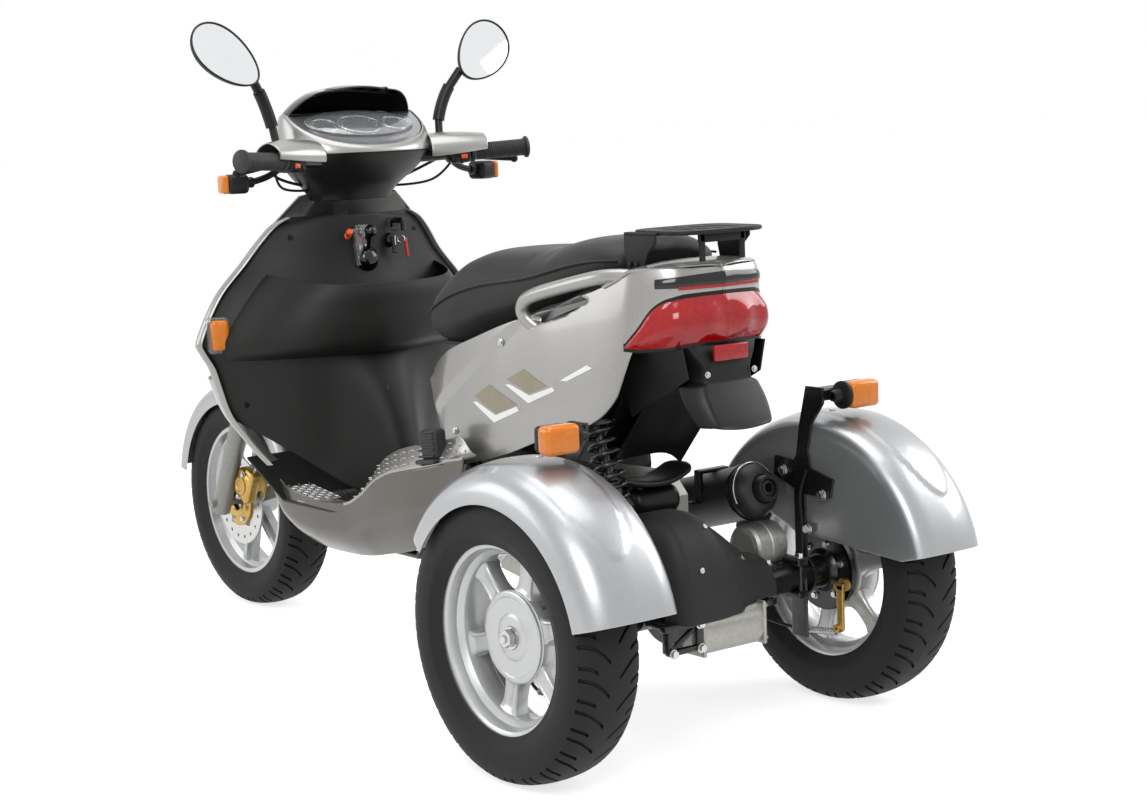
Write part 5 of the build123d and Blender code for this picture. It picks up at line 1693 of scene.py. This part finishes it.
def front_wheel_fittings():
    """Gold carrier and its bolts on the disc side, and valve stems on all three wheels."""
    centre = put(0, -WHEELBASE, FRONT_R)
    carrier = turned("carrier", [(50, 22), (50, 56), (52, 58), (55, 58), (57, 54), (57, 40), (60, 36),
                                 (60, 24), (56, 22)],
                     centre, (1, 0, 0), 72)
    bolts = [bolt(centre + Vector((56, 47 * math.cos(t), 47 * math.sin(t))) * MM, (1, 0, 0), 6, 4)
             for t in (2 * math.pi * i / 6 for i in range(6))]
    settle(carrier, "disc_carrier", "front_wheel", GOLD_ZINC)
    settle(joined(bolts), "disc_bolts", "front_wheel", BRIGHT_STEEL)
    stems = []
    for body, x, y, radius, side in (("rear_wheel_left", HALF_TRACK, 0, REAR_RIM - 20, 1),
                                     ("rear_wheel_right", -HALF_TRACK, 0, REAR_RIM - 20, -1),
                                     ("front_wheel", 0, -WHEELBASE, FRONT_RIM - 20, 1)):
        middle = put(x, y, FRONT_R if body == "front_wheel" else REAR_R)
        spot = middle + Vector((side * 12, radius * math.cos(0.6), radius * math.sin(0.6))) * MM
        way = Vector((side * 0.55, -math.cos(0.6), -math.sin(0.6)))
        stem = turned("stem", [(-6, 3), (-6, 5), (10, 4.2), (16, 3), (24, 3), (24, 3.8), (33, 3.8), (34, 3),
                               (34, 0.02)],
                      spot, way, 16)
        stems.append(settle(stem, f"valve_{body}", body, GRIP_RUBBER))
    return stems


def column_controls():
    """Gear lever with a black knob in a clear gate, rotor knob below, small lever, hook and tagged key."""
    def on_shield(x, z, out=0.0):
        return put(x, shield_point(x / graded(SHIELD, z)[0], z)[1] + out, z)

    knob = on_shield(4, 858, 34)
    deselect()
    bpy.ops.mesh.primitive_uv_sphere_add(segments=32, ring_count=18, radius=12.5 * MM, location=knob)
    ball = bpy.context.object
    black = [ball, turned("collar", [(-20, 4), (-20, 6.5), (-10, 7.5), (-8, 6), (0, 5)], knob,
                          (0, 0.6, 0.8), 24),
             pipe("shaft", [stations(knob), stations(on_shield(2, 832, 16)), stations(on_shield(0, 806, 6))],
                  4.2, 8),
             turned("rotor", [(0, 27), (4, 27), (6, 25), (8, 25), (9, 23), (14, 21), (18, 16), (20, 12),
                              (20, 0.02)], on_shield(0, 800, -1),
                    (0, 1, 0.12), 40),
             block((30, 7, 26), on_shield(-78, 866, 3), bevel=2.5),
             block((9, 34, 12), on_shield(-84, 874, 18), bevel=3),
             block((9, 9, 26), on_shield(-84, 866, 34), bevel=3),
             turned("barrel", [(0, 15), (4, 15), (5, 14), (14, 13.5), (16, 12), (16, 0.02)],
                    on_shield(-62, 834, -1),
                    (0, 1, 0.1), 36),
             block((13, 5, 24), on_shield(-62, 820, 22), bevel=2.2)]
    whole = joined(black)
    smooth(whole, 40)
    settle(whole, "column_controls", "chassis", GLOSS_BLACK, "control_levers")
    clear = [block((16, 16, 78), on_shield(20, 826, 6), bevel=3),
             block((30, 3, 84), on_shield(6, 828, 1), bevel=1.2)]
    settle(joined(clear), "lever_gate", "chassis", CLEAR_LENS)
    red = [block((7, 5, 40), on_shield(-86, 818, 34), (0.15, 0, 0.2), bevel=1.6),
           block((8, 4, 20), on_shield(17, 842, 12), bevel=1.2)]
    settle(joined(red), "red_key_tag", "chassis", RED_LENS_PAINTED_FACET_GLINTS)
    ring = [turned("ring", [(-0.8, 7.4), (0, 8.2), (0.8, 7.4), (0, 6.6), (-0.8, 7.4)],
                   on_shield(-76, 836, 30), (0.6, 0.8, 0), 32),
            block((3, 9, 20), on_shield(-62, 834, 22), bevel=0.9),
            block((26, 2.4, 60), on_shield(6, 800, 0.6), bevel=1.0)]
    settle(joined(ring), "key_and_ring", "chassis", BRIGHT_STEEL)
    tip = [turned("lever", [(0, 4), (0, 7), (5, 7), (7, 4.5), (26, 3.6), (26, 5.5), (30, 6.5), (36, 6.5),
                            (38, 4), (38, 0.02)],
                  on_shield(38, 848, -1), (0.35, 0.85, 0.3), 24)]
    settle(joined(tip), "choke_lever", "chassis", SWITCH_ORANGE)
    screws = [bolt(on_shield(x, z, 1), (0, 1, 0), 5, 3) for x, z in
              ((150, 852), (250, 716), (262, 520), (-150, 852), (-250, 716), (-262, 520))]
    settle(joined(screws), "shield_screws", "chassis", COVER_BLACK)
    screws = []
    for side in (1, -1):
        for y, z in ((-314, 685), (-470, 512)):
            spot = tail_surface(tail_share(y), z, 0.5)
            normal = tail_surface(tail_share(y), z, 10) - spot
            screws.append(bolt(put(side * spot.x, spot.y, z), (side * normal.x, normal.y, 0), 6, 3))
    return settle(joined(screws), "side_panel_screws", "chassis", BRIGHT_STEEL)


def cables():
    """Brake and throttle cables curving from the controls into the cowl."""
    runs = []
    for side in (1, -1):
        runs.append(pipe("cable", [(side * 196, -996, 1000), (side * 190, -1040, 985),
                                   (side * 150, -1060, 965),
                                   (side * 110, -1050, 955)], 3, 10))
        runs.append(pipe("cable", [(side * 212, -980, 990), (side * 200, -1000, 962),
                                   (side * 160, -1020, 945),
                                   (side * 104, -1040, 945)], 2.6, 10))
    return settle(joined(runs), "control_cables", "steering", RUBBER)


def cast_wheel(side, name):
    """Six-spoke casting: barrel with rolled lips, flared spokes with a dished face, hub and half shaft."""
    centre, way, half = put(side * HALF_TRACK, 0, REAR_R), (side, 0, 0), 49
    seat, well = REAR_RIM - 12, REAR_RIM - 22
    lip = [(half - 5, seat), (half - 5, 164), (half - 4, 165), (half - 1.5, 164.6), (half, 162),
           (half - 0.6, 157),
           (half - 4, 151), (half - 12, 147.5), (half - 20, 146.5), (half - 27, 139), (half - 30, 137)]
    far = [(-along, radius) for along, radius in reversed(lip)]
    profile = lip + far + [(-half + 22, seat), (-half + 30, well), (half - 30, well), (half - 22, seat),
                           lip[0]]
    barrel = turned("barrel", profile, centre, way, 128)
    hub = turned("hub", [(-30, 0.02), (-30, 40), (-28, 58), (-20, 72), (-8, 77), (10, 78), (15, 77.4),
                         (17.4, 75), (18, 72),
                         (18, 0.02)], centre, way, 96)
    shaft = turned("shaft", [(-150, 0.02), (-150, 12), (30, 12), (30, 0.02)], centre, way, 32)
    pieces = [barrel, hub, shaft]
    for k in range(6):
        turn = math.radians(60 * k + 15)
        radial, tangent = Vector((0, math.cos(turn), math.sin(turn))), Vector((0, -math.sin(turn),
                                                                               math.cos(turn)))

        def point(u, v):
            roll = 2 * math.pi * u
            flare = abs(2 * v - 1) ** 3.2
            across = math.copysign(abs(math.cos(roll)) ** 0.45, math.cos(roll))
            along = math.copysign(abs(math.sin(roll)) ** 0.45, math.sin(roll))
            dish = 4.0 * step(0.72, 0.5, abs(across)) * step(0.04, 0.2, v) * step(0.96, 0.8,
                                                                                  v) if along > 0.5 else 0
            out = -3 + (16 + 4 * flare) * along - dish
            return centre + (radial * (70 + 71 * v) + tangent * (17 + 11 * flare) * across
                             + Vector(way) * out) * MM
        spoke = skin("spoke", point, 44, 22, closed=True)
        outwards(spoke)
        pieces.append(spoke)
    whole = joined(pieces)
    smooth(whole, 35)
    return settle(whole, f"cast_wheel_{name}", f"rear_wheel_{name}", WHEEL_SILVER, f"rear_rim_{name}")


def caliper():
    lean = (math.radians(-28), 0, 0)
    gold = [block((32, 58, 70), put(72, -1420, 288), lean, bevel=10, segments=4),
            block((9, 52, 62), put(41, -1420, 288), lean, bevel=3),
            block((46, 34, 50), put(62, -1402, 300), lean, bevel=7, segments=3),
            turned("boss", [(0, 21), (2, 21), (4, 19), (4, 14), (2.5, 13), (2.5, 0.02)],
                   put(88, -1422, 288), (1, 0, 0), 40)]
    whole = joined(gold)
    smooth(whole, 40)
    settle(whole, "caliper_body", "steering", GOLD_ZINC, "brake_caliper")
    bolts = [bolt(put(86, -1422 + a, 288 + b), (1, 0, 0), 6, 5) for a, b in ((-12, -25), (14, 25))]
    bolts.append(turned("nipple", [(0, 4), (6, 4), (7, 2.6), (14, 2.6), (15, 1.6), (15, 0.02)],
                        put(70, -1388, 318), (0, 0.5, 0.86), 12))
    return settle(joined(bolts), "caliper_bolts", "steering", BRIGHT_STEEL)


for side, name in ((1, "left"), (-1, "right")):
    cast_wheel(side, name)
caliper()

hub_fittings()
front_wheel_fittings()
column_controls()
cables()

# ---------------------------------------------------------------- luggage rack

def rack():
    """Slotted plate with a rolled rim on two bent ears and a narrow rear strap."""
    def top(u, v):
        x, y = oval((99, 77, 48), 2 * math.pi * u, 4.0)
        return put(x * v, 48 + (y - 48) * v, 887)
    plate = skin("plate", top, 96, 8, closed=True)
    outwards(plate)
    if plate.data.polygons[0].normal.z < 0:
        plate.data.flip_normals()
    apply(plate, "SOLIDIFY", thickness=5 * MM, offset=-1)
    for i in range(4):
        cutter = block((14, 92, 30), put(-51 + 34 * i, 48, 885), bevel=6.5, segments=4)
        apply(plate, "BOOLEAN", object=cutter, operation="DIFFERENCE", solver="EXACT")
        bpy.data.objects.remove(cutter)
    apply(plate, "BEVEL", width=0.8 * MM, segments=2, limit_method="ANGLE", angle_limit=math.radians(50))

    def rim(u, v):
        turn, roll = 2 * math.pi * v, 2 * math.pi * u
        x, y = oval((96 + 3.6 * math.cos(roll), 74 + 3.6 * math.cos(roll), 48), turn, 4.0)
        return put(x, y, 884 + 3.8 * math.sin(roll))
    rolled = skin("rim", rim, 10, 128, closed=True)
    outwards(rolled, merge=0.0001)
    pieces = [plate, rolled]
    for side in (1, -1):
        outline = ((-22, 884), (60, 884), (60, 868), (40, 850), (24, 818), (-14, 818), (-22, 850))
        ear = mesh_of("ear", [put(side * 104, y, z) for y, z in outline], [tuple(range(7))])
        apply(ear, "SOLIDIFY", thickness=4 * MM, offset=0)
        apply(ear, "BEVEL", width=1.4 * MM, segments=3, limit_method="ANGLE", angle_limit=math.radians(30))
        pieces += [ear, block((18, 80, 5), put(side * 98, 19, 882), bevel=1.5),
                   block((12, 5, 48), put(side * 44, 106, 859), bevel=2)]
    pieces += [block((104, 5, 16), put(0, 106, 874), bevel=2),
               block((104, 22, 4), put(0, 98, 881), bevel=1.4)]
    whole = joined(pieces)
    smooth(whole, 35)
    settle(whole, "rack_plate", "chassis", POWDER, "luggage_rack")
    screws = [bolt(put(side * 106, y, 832), (side, 0, 0), 4.6, 3) for side in (1, -1) for y in (-4, 12)]
    return settle(joined(screws), "rack_bolts", "chassis", POWDER)


rack()

# ---------------------------------------------------------------- studio

CAMERA_PLACE = Vector((2.422, 3.5618, 1.103))
TURN, TILT, ROLL = math.radians(142.48), math.radians(7.72), math.radians(-2.13)
LENS = 68.92


def studio():
    """World, paper floor and lamps."""
    back = Vector((math.sin(TURN) * math.cos(TILT), -math.cos(TURN) * math.cos(TILT), math.sin(TILT)))
    right = Vector((math.cos(TURN), math.sin(TURN), 0))
    up = back.cross(right)
    across = right * math.cos(ROLL) + up * math.sin(ROLL)
    upward = up * math.cos(ROLL) - right * math.sin(ROLL)
    data = bpy.data.cameras.new("camera")
    data.lens, data.sensor_width, data.clip_end = LENS, 36.0, 60.0
    camera = bpy.data.objects.new("camera", data)
    bpy.context.scene.collection.objects.link(camera)
    camera.matrix_world = Matrix((
        (across.x, upward.x, back.x, CAMERA_PLACE.x),
        (across.y, upward.y, back.y, CAMERA_PLACE.y),
        (across.z, upward.z, back.z, CAMERA_PLACE.z),
        (0, 0, 0, 1)))
    bpy.context.scene.camera = camera

    def seen(tree):
        """1 for camera, mirror and glass rays, 0 for the light that falls on surfaces."""
        path = add_node(tree, "ShaderNodeLightPath")
        first = add_node(tree, "ShaderNodeMath", [("operation", "ADD"), ("use_clamp", True)],
                         [(path.outputs["Is Camera Ray"], 0), (path.outputs["Is Glossy Ray"], 1)])
        return add_node(tree, "ShaderNodeMath", [("operation", "ADD"), ("use_clamp", True)],
                        [(first.outputs[0], 0), (path.outputs["Is Transmission Ray"], 1)])

    world = bpy.data.worlds.new("studio")
    bpy.context.scene.world = world
    world.use_nodes = True
    tree = world.node_tree
    tree.nodes.clear()
    level = add_node(tree, "ShaderNodeMapRange", [("To Min", 0.42), ("To Max", 1.0)],
                     [(seen(tree).outputs[0], "Value")])
    sky = add_node(tree, "ShaderNodeBackground", [("Color", (1, 1, 1, 1))], [(level.outputs[0], "Strength")])
    add_node(tree, "ShaderNodeOutputWorld", (), [(sky.outputs[0], "Surface")])

    deselect()
    bpy.ops.mesh.primitive_plane_add(size=120, location=(0, 0, 0))
    floor = bpy.context.object
    floor.name = "studio_floor"
    made = bpy.data.materials.new("white_paper_sweep")
    made.use_nodes = True
    tree = made.node_tree
    tree.nodes.clear()
    lift = add_node(tree, "ShaderNodeMapRange", [("To Min", 0.0), ("To Max", 0.73)],
                    [(seen(tree).outputs[0], "Value")])
    paper = add_node(tree, "ShaderNodeBsdfPrincipled",
                     [("Base Color", linear("#C9C9C8")), ("Roughness", 0.9),
                      ("Specular IOR Level", 0.1), ("Emission Color", (1, 1, 1, 1))],
                     [(lift.outputs[0], "Emission Strength")])
    add_node(tree, "ShaderNodeOutputMaterial", (), [(paper.outputs[0], "Surface")])
    floor.data.materials.append(made)

    for name, place, size, power in (
            ("key", (3.2, 3.4, 3.4), 2.2, 130), ("fill", (3.4, -2.6, 2.0), 2.4, 50),
            ("back", (-3.2, 1.6, 2.4), 2.0, 60), ("top", (0.0, 0.2, 3.6), 2.6, 60)):
        lamp = bpy.data.lights.new(name, "AREA")
        lamp.size, lamp.energy = size, power
        holder = bpy.data.objects.new(name, lamp)
        holder.location = place
        holder.rotation_euler = (Vector((0, 0, 0.5)) - Vector(place)).to_track_quat("-Z", "Y").to_euler()
        bpy.context.scene.collection.objects.link(holder)
    bpy.context.scene.view_settings.view_transform = "Standard"


studio()
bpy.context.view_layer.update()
